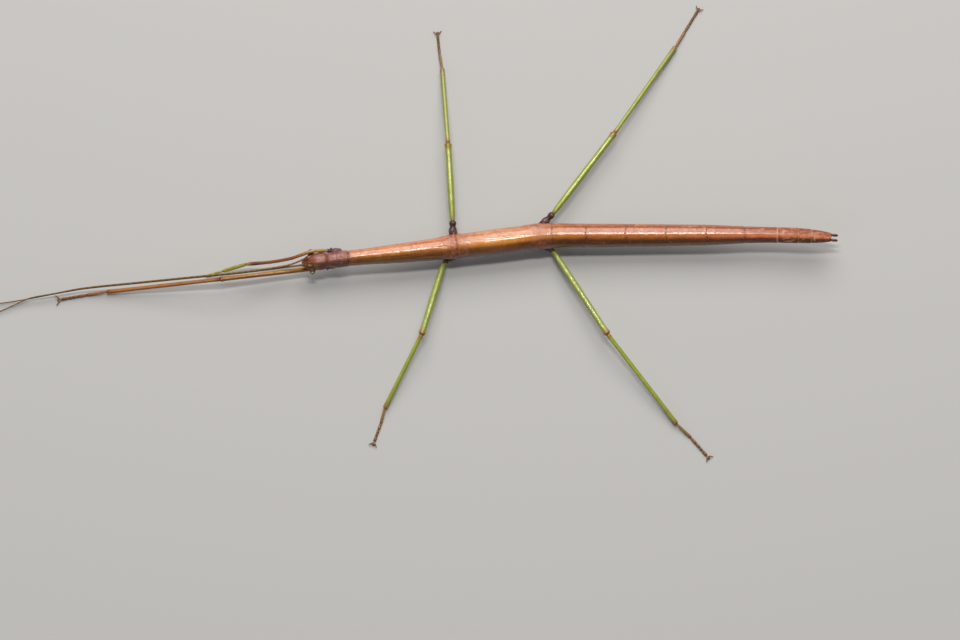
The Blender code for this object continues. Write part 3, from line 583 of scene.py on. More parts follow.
def body():
    round_front, round_rear = ROUNDED_ENDS
    along = np.concatenate([
        np.linspace(0.0, 0.35, 9)[:-1],
        np.arange(0.35, BODY_END - 0.45, BODY_STEP),
        np.linspace(BODY_END - 0.45, BODY_END - 0.02, 12),
    ])
    s, a = grid(along, BODY_SIDES)
    degrees, lift = np.degrees(a), np.sin(a)
    ends = 1
    for past, reach in ((round_front - along, round_front), (along - BODY_END + round_rear, round_rear)):
        ends = ends * np.sqrt(np.clip(1 - (past / reach).clip(0, 1) ** 2, 0.02, 1))

    # grooves along the sides, a line down the back and a flatter belly
    thorax = step(s - 13.2, 0.3) * step(ABDOMEN[0] - s, 0.4)
    abdomen = step(s - ABDOMEN[0] + 0.5, 0.5) * step(147.5 - s, 0.6)
    side_gap = np.minimum(np.abs(degrees - 346), np.abs(degrees - 194))
    low_gap = np.minimum(np.abs(degrees - 322), np.abs(degrees - 218))
    relief = joint_relief(s)
    relief -= (0.10 * abdomen + 0.07 * thorax) * bell(side_gap, 2.6)
    relief += (0.05 * abdomen + 0.03 * thorax) * bell(side_gap - 6.5, 4.0)
    relief -= 0.018 * abdomen * (bell(degrees - 52, 1.5) + bell(degrees - 128, 1.5))
    relief -= 0.16 * (abdomen + 0.7 * thorax) * bell(degrees - 270, 30)
    relief += (abdomen + thorax) * (
        0.030 * bell(degrees - 90, 9.0) - 0.028 * bell(degrees - 90, 1.8) - 0.07 * bell(low_gap, 2.4)
    )

    # fine wrinkles across, granules near the rear of each segment of the thorax
    mottle = noise(s, a, 1.4, 14, 5)
    fine = noise(s, a, 0.22, 80, 7)
    coarse = noise(s, a, 0.5, 34, 8)
    rough = step(lift + 0.2, 0.2) * (
        bell(s - 42.5, 2.8) + 0.8 * bell(s - 67.5, 3.0) + 0.9 * bell(s - 11.5, 2.2) + 0.5 * bell(s - 46, 1.6)
    )
    grit = np.clip(noise(s, a, 0.30, 62, 9) - 0.55, 0, 1)
    relief += 0.008 * noise(s, a, 0.45, 12, 3) + 0.005 * fine + 0.010 * mottle
    relief += rough * (0.058 * np.abs(coarse) + 0.024 * np.maximum(fine, 0))
    relief += 0.044 * grit * (thorax + 0.35 * abdomen)
    relief += bumps(s, a, BOSSES)

    half = np.radians(np.clip(FACET_HALF[1] - (s - FACET_START) * 0.75, *FACET_HALF))
    aside = np.radians(np.abs(degrees - 91))
    facet = np.where(aside < half, np.cos(half) / np.cos(np.minimum(aside, half)) - 1, 0.0)
    relief += FACET_RADIUS * facet * step(s - FACET_START, 0.10) * step(FACET_END - s, 0.5)
    # front shield: a furrow across, one along and raised margins
    shield = step(s - 7.4, 0.15) * step(12.7 - s, 0.15)
    relief -= shield * (0.075 * bell(s - 9.5, 0.28) * step(lift - 0.2, 0.1) + 0.05 * bell(degrees - 90, 3.5))
    relief += 0.05 * (bell(s - 7.7, 0.3) + bell(s - 12.3, 0.35)) * step(lift, 0.2)
    relief += head_relief(s, a)

    relief *= ends[:, None]
    wide, above, below = [(size * INSIDE)[:, None] * ends[:, None] for size in body_size(along)]
    centre, _, right, up = spine_frame(along)
    rings = rings_at(
        centre, right, up, (wide + relief) * np.cos(a), (np.where(lift > 0, above, below) + relief) * lift
    )
    return loft(rings, *body_looks(s, a, mottle, fine, coarse, rough, side_gap, low_gap))


def head_relief(s, a):
    """The head's own forms, with grooves either side of the crown that curve out toward the nape."""
    relief = bumps(s, a, HEAD_MIDDLE + HEAD_SIDES)
    relief += bumps(s, a, [(size, place, 180 - aim, *spread) for size, place, aim, *spread in HEAD_SIDES])
    for sign, aim in ((-1, 62), (1, 118)):
        course = aim + sign * 5 * np.sin((s - 3.6) * 0.9)
        relief -= 0.055 * bell(s - 4.9, 1.5) * bell(turned(a, course), 3.0)
    pimples = np.clip(noise(s, a, 0.26, 46, 23) - 0.35, 0, 1)
    relief += 0.014 * noise(s, a, 0.32, 40, 21) + 0.040 * pimples
    return relief * step(HEAD_LENGTH - 0.15 - s, 0.12)


def body_looks(s, a, mottle, fine, coarse, rough, side_gap, low_gap):
    """Colour, shine and grain over the head and trunk."""
    degrees, lift = np.degrees(a), np.sin(a)

    def some(values, least=0.0):
        return np.clip(values - least, 0, 1)

    def spot(*where):
        return bump(s, a, *where)

    places, *bands = zip(*BODY_COLOURS)
    shoulder, back, flank = [
        np.stack([np.interp(s, places, channel) for channel in zip(*band)], -1) for band in bands
    ]
    flank_shade_edge = curve(FLANK_SHADE_EDGE, s)
    edge = flank_shade_edge + 2.5 * noise(s, 0 * a, 2.2, 1, 33)
    streak = noise(s, a, 7.0, 60, 31)
    blotch = noise(s, a, 0.75, 30, 37) + 0.6 * noise(s, a, 0.3, 70, 39)
    gold = some(noise(s, a, 0.34, 58, 35), 0.45)
    on_trunk = step(s - 13, 1)
    top = step(lift + 0.05, 0.15)
    is_rough = some(rough)
    # painted light and shade: the right shoulder lighter as if lit, the left side darker with painted shade
    # past the edge, the low right flank darker too
    tint = over(
        shoulder,
        (back, step(degrees - 88, 4.5)),
        (flank, step(degrees - edge, 4.0) * step(262 - degrees, 6)),
        (flank, 0.75 * (step(24 - degrees, 5) + step(degrees - 275, 6))),
        # deeper painted shade low on the left side
        (FLANK_DEEP_SHADE, 0.55 * step(degrees - 150, 9) * step(262 - degrees, 6)),
        (BELLY, 0.8 * bell(degrees - 270, 38)),
        # darker folds along the sides, streaks along the body, and small flecks
        (DARK_BROWN, 0.45 * bell(side_gap, 3.0) + 0.30 * bell(low_gap, 2.6)),
        (DARK_BROWN, 0.26 * some(streak) * on_trunk),
        (shoulder, 0.22 * some(-streak) * on_trunk),
        (DARK_BROWN, 0.9 * some(fine, 0.55)),
        ((0.36, 0.070, 0.030), 0.42 * some(blotch, 0.2) * step(112 - degrees, 8)),
        ((0.92, 0.52, 0.36), 0.42 * some(-blotch, 0.2) * step(104 - degrees, 8)),
        ((0.62, 0.30, 0.06), 0.55 * gold * step(degrees - edge + 6, 4) * step(215 - degrees, 8)),
        (DARK_BROWN, 0.38 * step(s - 71, 1) * bell(degrees - 51, 1.5)),
        (DARK_BROWN, 0.38 * step(s - 71, 1) * bell(degrees - 129, 1.5)),
        # rough pinkish rear parts of the thorax, mottled with dark
        (PINK_BROWN, 0.55 * is_rough * some(0.6 + coarse) * top),
        ((0.30, 0.055, 0.035), 0.55 * is_rough * some(-coarse) * top),
    )
    for patch in (spot(66.2, 30, 2.2, 20), spot(42.4, 22, 1.5, 20)):
        tint = over(
            tint, ((0.24, 0.045, 0.035), 0.75 * patch * some(0.7 - coarse)),
            ((0.66, 0.34, 0.28), 0.5 * patch * some(coarse, 0.2)),
        )
    head = step(HEAD_LENGTH - s, 0.10)
    shield = step(13.0 - s, 0.12) - head
    # painted shade on the left side and underneath of the head and front shield
    shaded_low_side = step(degrees - flank_shade_edge, 5) + step(12 - degrees, 6)
    front = head * bell(s, 2.0) * top
    hair = noise(s, a, 0.9, 44, 27)
    tint = over(
        tint,
        (PURPLE_BROWN, head),
        # a painted highlight, pale pink on the crown
        ((0.55, 0.20, 0.145), head * 0.7 * spot(4.8, 88, 1.6, 22)),
        # painted shade low on the head
        ((0.105, 0.036, 0.014), head * 0.82 * shaded_low_side),
        ((0.16, 0.060, 0.018), head * 0.5 * spot(5.0, 140, 1.6, 16)),
        (OLIVE, head * 0.9 * spot(3.45, 128, 0.75, 15)),
        (YELLOW, head * 0.7 * spot(2.5, 67, 0.38, 8)),
        (SEAM, head * 0.85 * spot(1.45, 72, 0.26, 8)),
        ((0.36, 0.085, 0.022), 0.75 * front),
        ((0.66, 0.30, 0.17), 1.1 * front * some(hair, 0.25)),
        ((0.085, 0.018, 0.010), 1.3 * front * some(-hair, 0.25)),
        # a second painted highlight on the crown, paler and narrower
        ((0.52, 0.24, 0.19), head * 0.55 * spot(5.2, 97, 1.1, 11)),
        (SEAM, head * 0.55 * spot(2.35, 50, 0.30, 16)),
        (SEAM, head * 0.55 * spot(2.35, 130, 0.30, 16)),
        (DARK_BROWN, head * 0.55 * some(mottle)),
        (SEAM, head * 0.6 * spot(4.4, 90, 1.8, 1.8)),
        # front shield
        (MAUVE, shield * 0.95),
        # painted shade low on the front shield
        ((0.105, 0.038, 0.016), shield * 0.88 * shaded_low_side),
        (LILAC, shield * 0.55 * some(coarse, 0.15) * top),
        (DARK_BROWN, shield * 0.6 * some(-mottle, 0.1)),
        (COXA_PURPLE, shield * 0.85 * spot(9.6, 30, 1.7, 22)),
        (SEAM, 0.8 * (spot(12.75, 58, 0.35, 8) + spot(12.75, 122, 0.5, 14))),
    )
    # joints: a faint line, a crisp dot high on the right side and softer spots lower down
    jitter = np.random.default_rng(51).uniform(-1, 1, (len(BOUNDARIES), len(JOINT_DOTS)))
    for number, (place, strength) in enumerate(zip(BOUNDARIES, JOINT_LINES)):
        line_tint = SEAM if number < 3 else (0.17, 0.035, 0.022)
        tint = over(
            tint, (line_tint, strength * bell(s - place, 0.13) * (0.85 + 0.5 * coarse)),
            ((0.20, 0.045, 0.028), 0.22 * bell(s - place - 0.25, 0.35) * (0.8 + 0.6 * mottle)),
        )
        if number < 2:
            continue
        tint = over(tint, (LILAC_PALE, 0.30 * bell(s - place + 0.28, 0.16) * bell(degrees - 78, 22)))
        for (aim, dark, size), shift in zip(JOINT_DOTS, jitter[number]):
            dot = bell(s - place + 0.05 * shift, 0.27 * size) * bell(degrees - aim - 3.5 * shift, 4.6 * size)
            tint = over(tint, (SPOT, np.clip(1.4 * dark * dot, 0, 0.92)))
    eighth, ninth, tenth = BOUNDARIES[9:]
    tail = step(s - eighth + 0.2, 0.15)
    dash = noise(s, a, 0.8, 26, 41)
    tint = over(
        tint,
        (PALE_RIM, 0.75 * bell(s - eighth + 0.35, 0.22) * top),
        (PALE_RIM, 0.45 * (bell(s - tenth, 0.16) + bell(s - ninth, 0.12)) * top),
        ((0.80, 0.40, 0.24), 1.12 * tail * some(dash, 0.35) * top),
        ((0.20, 0.045, 0.025), 0.96 * tail * some(-dash, 0.35)),
        (SEAM, 0.9 * spot(BODY_END, 52, 0.5, 13)),
        (SEAM, 0.9 * spot(BODY_END, 128, 0.5, 13)),
    )
    shine = 0.29 + 0.05 * mottle + 0.12 * is_rough + 0.13 * head + 0.06 * shield
    shine += 0.08 * step(-lift, 0.2) + 0.24 * step(s - 127, 4) + 0.04 * tail
    grain = 0.25 + 0.60 * is_rough + 0.45 * head + 0.40 * shield + 0.25 * tail
    return tint, np.clip(shine, 0.16, 0.8), np.clip(grain, 0, 1.2)


# ---- legs ----


def stride(start, degrees, length, rise):
    """The end of a straight joint of this length that leaves start at a heading and climbs this much."""
    level = math.sqrt(max(length * length - rise * rise, 0.0))
    angle = math.radians(degrees)
    return start + np.array([level * math.cos(angle), level * math.sin(angle), rise])


def leg_joints(pair, side):
    """Socket, hip, knee, ankle, the foot's bend and its end."""
    socket, hip, headings, knee_height = LEGS[pair, side]
    points = [beside(*socket, side), beside(*hip, side)]
    first = FOOT_LENGTH[pair] * FOOT_JOINTS[0]
    lengths = FEMUR_LENGTH[pair], TIBIA_LENGTH[pair], first, FOOT_LENGTH[pair] - first
    heights = knee_height, ANKLE_HEIGHT, FOOT_HEIGHT, FOOT_HEIGHT
    for heading, length, height in zip(headings, lengths, heights):
        points.append(stride(points[-1], heading, length, height - points[-1][2]))
    return points


def hip_root(along, out, height, side):
    """A point well inside the trunk, from which the hip joint starts."""
    middle = frame_at(along)[0][2]
    return beside(along, out * 0.35, height + 0.55 * (middle - height), side)


def hip_stations(socket, hip, radius):
    way = hip - socket
    return [(0.0, radius * 1.1)] + [(socket + share * way, radius * swell) for share, swell in HIP_FORM]


def stations(start, end, form, radius):
    """(distance, radius) pairs of one limb joint."""
    return [((start if place >= 0 else end) + place, radius * swell) for place, swell in form]


def foot_stations(ankle, toe):
    """Each of the foot's five joints swells toward its end."""
    pairs, done = [], ankle
    for number, share in enumerate(FOOT_JOINTS):
        run = share * (toe - ankle)
        rear = 0.90 if number == len(FOOT_JOINTS) - 1 else 1.02
        form = (0.04, 0.66), (0.28 * run, 0.86), (0.78 * run, 1.0), (run - 0.14, rear), (run - 0.03, 0.74)
        pairs += [(done + place, FOOT_RADIUS * INSIDE * swell) for place, swell in form]
        done += run
    return pairs


def hip_knobs(d, a, socket, hip, side):
    """Blunt knobs on the hip joint, 0 to about 0.2 high."""
    turn = a if side == "right" else math.pi - a
    return bumps((d - socket) / (hip - socket), turn, HIP_KNOBS) * step(hip - d, 0.08)


def keels(a):
    """Blunt ridges along a limb: two on top, one on either side and two below."""
    return sum(bell(turned(a, aim), 11) for aim in (62, 118, 182, 240, 300, 358)) - 0.45


def hip_looks(tint, coxa, knobs, veil, a):
    """Dark maroon, with painted highlights, paler and pinker on the knobs and lilac spots on top, and
    painted shade between the knobs.
    """
    return over(
        tint,
        (COXA_PURPLE, coxa * 0.97),
        # painted highlights on the knobs
        ((0.24, 0.072, 0.062), coxa * np.clip(knobs * 4.2, 0, 0.85)),
        # painted shade between the knobs
        ((0.022, 0.006, 0.006), coxa * 0.6 * step(0.035 - knobs, 0.01)),
        # painted highlight spots on top
        (LILAC, coxa * 1.2 * np.clip(veil - 0.30, 0, 1) * step(np.sin(a), 0.3)),
    )


def limb_looks(d, a, marks, pair, side, veil, knobs):
    """Colour, shine and grain along a whole leg. marks are where the hip, knee, ankle and foot's end lie."""
    hip, knee, ankle, toe = marks
    degrees, lift = np.degrees(a), np.sin(a)
    foot, coxa = step(d - ankle, 0.12), step(hip - 0.05 - d, 0.08)
    if pair == "front":
        base, pale, dark, joint, tan, shine = AMBER_LEG
        shades = (
            ((0.74, 0.27, 0.07), 0.72 * step(d - knee, 0.5) * step(lift, 0.25)),
            (dark, 0.7 * step(72 - degrees, 5)),
        )
    else:
        base, pale, dark, joint, tan, shine = GREEN_LEG
        shades = (
            ((0.30, 0.27, 0.045), 0.55 * np.clip((d - knee) / (ankle - knee), 0, 1) ** 1.5),
            ((0.30, 0.24, 0.03), 0.45 * bell(d - hip, 1.6)),
        )
    tint = over(
        base,
        # a painted highlight along the upper side
        (pale, 0.62 * bell(turned(a, 74 if side == "right" else 124), 22) * (0.8 + 0.3 * veil)),
        # painted shade on one side and underneath
        (dark, 0.35 * step(degrees - 152, 6) * step(270 - degrees, 6)),
        (dark, 0.75 * step(-lift - 0.05, 0.22)),
        (dark, 0.25 * bell(degrees - 62, 5)),
        (dark, 0.25 * bell(degrees - 118, 5)),
        *shades,
        (joint, 0.85 * bell(d - knee, 1.35)),
        (SEAM, 0.70 * bell(d - knee - 0.03, 0.14)),
        (joint, 0.75 * bell(d - ankle, 1.5)),
        (SEAM, 0.6 * bell(d - ankle, 0.14)),
        (tan, 0.9 * foot),
        (FOOT_DARK, foot * (0.06 + 0.62 * np.clip((d - ankle) / (toe - ankle), 0, 1) ** 1.3)),
        # painted shade under the foot
        (FOOT_DARK, foot * 0.7 * step(-lift + 0.25, 0.15)),
    )
    for place in ankle + np.cumsum(FOOT_JOINTS) * (toe - ankle):
        tint = over(tint, (FOOT_DARK, 0.75 * foot * bell(d - place, 0.22)))
    tint = over(
        hip_looks(tint, coxa, knobs, veil, a),
        (SEAM, 0.5 * bell(d - hip, 0.16)),
        (dark, 0.75 * np.clip(veil - 0.55, 0, 1) * (1 - coxa)),
    )
    shine = shine + 0.05 * veil + 0.14 * foot + 0.08 * coxa
    return tint, np.clip(shine, 0.2, 0.8), 0.45 + 0.30 * coxa + 0.20 * foot


def leg(pair, side):
    """A whole leg in one skin, from inside the trunk to the end of the fifth foot joint."""
    line = np.array([hip_root(*LEGS[pair, side][0], side)] + leg_joints(pair, side))
    line[-1] -= unit(line[-1] - line[-2]) * 0.10
    path, at, run = rounded(line, LEG_SPACING, 0.55)
    socket, hip, knee, ankle, _, toe = run[1:]
    form = hip_stations(socket, hip, COXA_RADIUS[pair] * INSIDE) + foot_stations(ankle, toe)
    form += stations(hip, knee, FEMUR_FORM, FEMUR_RADIUS[pair] * INSIDE)
    form += stations(knee, ankle, TIBIA_FORM, TIBIA_RADIUS[pair] * INSIDE)
    radius = np.convolve(np.pad(form_at(at, form), 1, "edge"), (0.25, 0.5, 0.25), "valid")
    d, a = grid(at, LEG_SIDES)
    degrees = np.degrees(a)
    seed = NOISE_SEEDS[pair] + (LEFT_SEED_SHIFT if side == "left" else 0)
    veil = noise(d, a, 0.55, 9, seed)
    on_limb = step(d - hip - 0.8, 0.2) * step(ankle - 0.5 - d, 0.3)
    shape = radius[:, None] * (1 + 0.075 * on_limb * (1 - bell(d - knee, 1.0)) * keels(a))
    knobs = hip_knobs(d, a, socket, hip, side)
    shape += 0.010 * veil + 0.006 * noise(d, a, 0.20, 24, seed + 1) + knobs - 0.03 * step(hip - d, 0.1)
    # the knee's two side lobes, and the soft fold on top of it
    lobes = bell((degrees - 180) % 360, 40) + bell(turned(a, 0), 40)
    shape += 0.06 * bell(d - knee + 0.45, 0.45) * lobes
    shape -= 0.07 * bell(d - knee - 0.10, 0.25) * bell(degrees - 90, 45)
    looks = limb_looks(d, a, (hip, knee, ankle, toe), pair, side, veil, knobs)
    return loft(tube(path, shape, LEG_SIDES), *looks)


def leg_extras(pair, side):
    """The big tooth and the small ones under the thigh, spurs at the shin's end and pads under the foot."""
    _, hip, knee, ankle, bend, toe = leg_joints(pair, side)
    femur, tibia = FEMUR_RADIUS[pair], TIBIA_RADIUS[pair]
    thigh, shin = unit(knee - hip), unit(ankle - knee)
    down = np.array([0, 0, -1.0])
    horn = ORANGE_BROWN, 0.35, 0.3
    parts = []
    if pair != "front":
        root = hip + (knee - hip) * TOOTH_SHARE
        middle, tip = root + down * 1.15 + thigh * 0.12, root + down * 1.68 + thigh * 0.35
        parts.append(cone(root + down * 0.3, middle, tip, TOOTH_RADII, 12, *horn))
    for share in np.linspace(*THORN_SHARES, THORN_COUNT):
        for sign in (-1, 1):
            root = hip + (knee - hip) * (share + 0.012 * sign)
            out = unit(down + sideways(thigh)[0] * sign * 0.75)
            start, end = root + out * femur * 0.70, root + out * (femur * 0.97 + 0.10) + thigh * 0.10
            parts.append(cone(start, (start + end) / 2, end, THORN_RADII, 8, *horn))
    for sign in (-1, 1):
        out = unit(down * 0.7 + sideways(shin)[0] * sign)
        start, end = ankle - shin * 0.75 + out * tibia * 0.6, ankle - shin * 0.02 + out * tibia * 0.90
        parts.append(cone(start, (start + end) / 2 + out * 0.05, end, SPUR_RADII, 8, *horn))
    first, *others = np.cumsum(FOOT_JOINTS[:-1])
    pads = [(ankle, bend, 0.93)] + [(bend, toe, (done - first - 0.02) / (1 - first)) for done in others]
    for start, end, share in pads:
        centre = start + (end - start) * share
        centre[2] = FOOT_PAD_HEIGHT
        flat = unit((end - start) * (1, 1, 0))
        axes = flat, sideways(flat)[0], -down
        parts.append(ball(centre, FOOT_PAD_RADII, axes, 14, 10, (0.10, 0.05, 0.028), 0.5, 0.6))
    return parts


def regrown_leg():
    """The short right fore leg: a thigh that lies over the eye, a swollen stub of a shin, a hooked foot."""
    thigh, _ = spline([from_head_front(*point) for point in REGROWN_ROUTE], 0.4)
    end, tip = from_head_front(*REGROWN_ANKLE), from_head_front(*REGROWN_TIP)
    hook = tip + unit(tip - end) * 0.5
    hook[2] = 0.28
    inner = [hip_root(*REGROWN_SOCKET, "right"), beside(*REGROWN_SOCKET)]
    path, at, run = rounded(np.concatenate([inner, thigh, [end, tip, hook]]), LEG_SPACING, 0.45)
    socket, hip, knee = run[1], run[2], run[len(thigh) + 1]
    ankle, toe, last = run[-3:]
    coxa, femur, tibia, tarsus = [radius * INSIDE for radius in REGROWN_RADII.values()]
    form = hip_stations(socket, hip, coxa) + stations(hip, knee, REGROWN_FEMUR_FORM, femur)
    form += stations(knee, ankle, REGROWN_TIBIA_FORM, tibia) + [((knee + ankle) / 2, tibia * 1.08)]
    for place, share, swell in REGROWN_FOOT_FORM:
        form.append((ankle + place + share * (toe - ankle), tarsus * swell))
    form.append((last, tarsus * 0.55))
    d, a = grid(at, REGROWN_SIDES)
    veil = noise(d, a, 0.5, 7, 401)
    knobs = hip_knobs(d, a, socket, hip, "right")
    shape = form_at(at, form)[:, None] * (1 + 0.05 * step(d - hip - 1, 0.3) * keels(a))
    shape += 0.012 * veil + knobs - 0.03 * step(hip - d, 0.1)
    tint = over(
        (0.30, 0.095, 0.025),
        (YELLOW, 0.85 * bell(d - hip - 3.0, 2.2)),
        ((0.62, 0.28, 0.08), 0.6 * bell(d - hip - 7.5, 2.6) * step(np.sin(a), 0.25)),
        ((0.12, 0.035, 0.018), 0.8 * bell(d - knee + 3.0, 1.4)),
        ((0.42, 0.40, 0.035), 0.9 * step(d - knee + 1.1, 0.25)),
        ((0.60, 0.58, 0.10), 0.6 * step(d - ankle, 0.3)),
        (SEAM, 0.7 * bell(d - knee, 0.22) + 0.6 * bell(d - ankle, 0.18)),
        # dark mottle, and painted shade underneath
        (FOOT_DARK, 0.4 * np.clip(veil - 0.3, 0, 1) + 0.4 * step(-np.sin(a), 0.25)),
        ((0.50, 0.34, 0.20), 0.6 * bell(d - hip - 1.3, 0.5)),
    )
    tint = hip_looks(tint, step(hip + 0.85 - d, 0.10), knobs + 0.05, veil, a)
    return loft(tube(path, shape, REGROWN_SIDES), tint, 0.42 + 0.05 * veil, 0.5)


# ---- feelers and mouth ----


def feeler(side):
    """The scape, the small second joint and the ringed lash in one skin."""
    lash, _ = spline([from_head_front(-ahead, *rest) for ahead, *rest in FEELER_ROUTES[side]], 0.5)
    base = on_body(*SCAPE_BASE, side)
    root = base - unit(lash[0] - base) * 0.6
    path, at, run = rounded(np.concatenate([[root, base], lash]), FEELER_SPACING, 0.5)
    _, start, scape_end = run[:3]
    flag = np.clip((at - scape_end) / (at[-1] - scape_end), 0, 1)
    # the rings are short at first and grow longer along the lash
    phase = FEELER_RINGS * flag**0.86
    within = phase - np.floor(phase)
    slim = FEELER_BASE_RADIUS + (FEELER_TIP_RADIUS - FEELER_BASE_RADIUS) * flag**0.6
    slim *= 0.94 + 0.10 * within**3 - 0.13 * bell(within, 0.07) - 0.05 * bell(within - 1, 0.05)
    middle = (start + scape_end) / 2
    form = (0, 0.7), (start, 0.95), (middle, 1.0), (scape_end - 0.25, 0.8), (scape_end - 0.02, 0.55)
    scape = form_at(at, form)
    in_lash = step(at - scape_end, 0.05)
    pedicel = bell(at - scape_end - 0.35, 0.28) * 0.05
    tip = np.clip((at[-1] - at) / 0.35, 0.05, 1) ** 0.5
    wide, high = [
        (scape * half * (1 - in_lash) + slim * in_lash + pedicel) * tip
        for half in (SCAPE_HALF_WIDTH, SCAPE_HALF_HEIGHT)
    ]
    d, a = grid(at, FEELER_SIDES)
    flag, within, in_lash = [values[:, None] for values in (flag, within, in_lash)]
    scape_tint, ring_tint = SCAPE_TINTS[side]
    streak = noise(d, a, 0.7, 9, 61)
    tint = over(
        FEELER_BROWN,
        (FEELER_DARK, 0.25 + 0.5 * flag),
        ((0.36, 0.21, 0.06), 0.45 * bell(within - 0.5, 0.25) * (1 - 0.6 * flag)),
        (SEAM, 0.5 * bell(within, 0.09) + 0.35 * bell(within - 1, 0.07)),
        (scape_tint, 0.95 * (1 - in_lash)),
        (SEAM, (1 - in_lash) * np.clip(streak - 0.1, 0, 1) * 1.1),
        (ring_tint, 0.65 * bell(d - start - 0.42, 0.22)),
        (SEAM, 0.8 * bell(d - start - 1.0, 0.16)),
        (SEAM, 0.75 * bell(d - scape_end, 0.16)),
        ((0.25, 0.03, 0.015), 0.5 * in_lash * bell(d - scape_end, 5.0)),
    )
    return loft(tube(path, wide, FEELER_SIDES, high), tint, 0.48, 0.5)


def mouth():
    """Upper lip and its shield, jaws, lower lip and two pairs of jointed palps, under the head's front."""
    _, forward, right, up = frame_at(0.6)
    dull = 0.5, 0.7

    def lump(place, radii, sides, rings, tint, side="right", lean=0.0):
        axes = unit(-forward - right * lean), right, up
        return ball(on_body(*place, side), radii, axes, sides, rings, tint, *dull)

    parts = [
        lump((0.35, 0, -0.55), (0.62, 1.02, 0.50), 28, 16, (0.40, 0.15, 0.07)),
        lump((-0.02, 0, -0.95), (0.34, 0.78, 0.44), 28, 16, (0.46, 0.20, 0.09)),
    ]
    for side, sign in SIGN.items():
        parts += [
            lump((0.55, 0.62, -1.28), (0.72, 0.56, 0.50), 24, 14, (0.16, 0.055, 0.03), side, 0.25 * sign),
            lump((0.35, 0.34, -1.72), (0.62, 0.24, 0.22), 16, 10, (0.28, 0.12, 0.06), side),
        ]
        marks = [on_body(*place, side) for place in LONG_PALP]
        for start, end, r in zip(marks, marks[1:], LONG_PALP_RADII):
            radii = r * 0.7, r, r, r * 0.75
            parts.append(cone(start, (start + end) / 2, end, radii, 12, (0.33, 0.15, 0.06), *dull))
        marks = [on_body(*place, side) for place in SHORT_PALP]
        for start, end in zip(marks, marks[1:]):
            radii = 0.09, 0.13, 0.13, 0.09
            parts.append(cone(start, (start + end) / 2, end, radii, 10, (0.30, 0.14, 0.06), *dull))
    return parts + [lump((1.25, 0, -1.62), (1.15, 0.62, 0.36), 24, 14, (0.20, 0.08, 0.045))]


# ---- tail ----


def cercus(side):
    """One of the two tail feelers."""
    base = on_body(BODY_END - 0.9, CERCUS_OUT * 0.96, -CERCUS_DROP, side)
    opening = on_body(BODY_END, CERCUS_OUT, -CERCUS_DROP, side)
    back = frame_at(BODY_END)[1]
    path, at = spline([base, opening, opening + back * 0.9, opening + back * CERCUS_LENGTH], 0.05)
    share = np.clip((at - 0.9) / CERCUS_LENGTH, 0, 1)
    radius = CERCUS_RADIUS * form_at(share, CERCUS_FORM) * (1 - 0.05 * np.abs(np.sin(share * 16)))
    tint = over((0.40, 0.13, 0.05), (CERCUS_RED, (0.55 + 0.45 * step(share - 0.15, 0.08))[:, None]))
    return loft(tube(path, radius, 20), tint, 0.4, 0.5)


def operculum():
    """The keeled plate under the last segments."""
    share, a = grid(np.linspace(0, 1, 90), 48)
    along = STARTS["abdomen_9"] - OPERCULUM_LEAD + share[:, 0] * OPERCULUM_LENGTH
    centre, _, right, up = spine_frame(along)
    belly = curve(WIDTHS, along) / 2 * SEGMENTS[-2][4]
    swell = curve(OPERCULUM_FORM, share)
    veil = noise(share, a, 1 / 22, 18, 71)
    under = np.degrees(a) - 270
    wide = OPERCULUM_HALF_WIDTH * 0.985 * swell * np.cos(a)
    high = OPERCULUM_HALF_HEIGHT * 0.95 * (0.5 + 0.5 * swell) * np.minimum(swell * 4, 1) * np.sin(a)
    high = high * (0.98 + 0.10 * bell(under, 9) * np.minimum(swell * 2, 1)) + 0.008 * veil
    centre = centre - up * (belly + OPERCULUM_HALF_HEIGHT * 0.35)[:, None]
    tint = over((0.26, 0.085, 0.04), (DARK_BROWN, 0.35 + 0.6 * veil), (SEAM, 0.5 * bell(under, 5)))
    return loft(rings_at(centre, right, up, wide, high), tint, 0.38, 0.6)


# ---- eyes and claws ----


def eye(side):
    """A domed compound eye with faint bands. Its poles point out of the head, so its facets run round it."""
    _, back, right, up = frame_at(EYE_AT[0])
    p, a = grid(np.linspace(0.02, math.pi - 0.02, 60), 96)
    facet = np.sin(p * 46) * np.sin(a * 30) * 0.0045
    out, behind, height = np.cos(p), np.sin(p) * np.cos(a), np.sin(p) * np.sin(a)
    points = on_body(*EYE_AT, side) + sum(
        ((radius * INSIDE + facet) * share)[..., None] * axis
        for radius, share, axis in zip(EYE_RADII, (behind, out, height), (back, right * SIGN[side], up))
    )
    tint = over(
        (0.13, 0.095, 0.028),
        ((0.040, 0.022, 0.010), 0.45 + 0.75 * np.sin((height + 0.25 * out) * 9.0)),
        ((0.020, 0.012, 0.008), 0.85 * step(0.12 - out, 0.06)),
        # the pale spot, a painted highlight
        ((0.78, 0.70, 0.42), 0.92 * bell(out - 0.42, 0.24) * bell(behind, 0.55) * step(height - 0.45, 0.12)),
    )
    if side == "right":
        points, tint = points[:, ::-1], tint[:, ::-1]
    return loft(points, tint, 0.22, 0.15)


def orbit(side):
    """The raised rim that the eye sits in."""
    _, back, right, up = frame_at(EYE_AT[0])
    out, one, two = (right, up, back) if side == "right" else (-right, back, up)
    reach, radius = np.array(ORBIT_FORM).T[..., None]
    _, a = grid(reach[:, 0], 48)
    rings = rings_at(on_body(*EYE_AT, side) + reach * out, one, two, radius * np.cos(a), radius * np.sin(a))
    tint = over((0.085, 0.050, 0.016), ((0.15, 0.055, 0.030), (reach < -0.5) * 1.0))
    return loft(rings, tint, 0.45, 0.6)


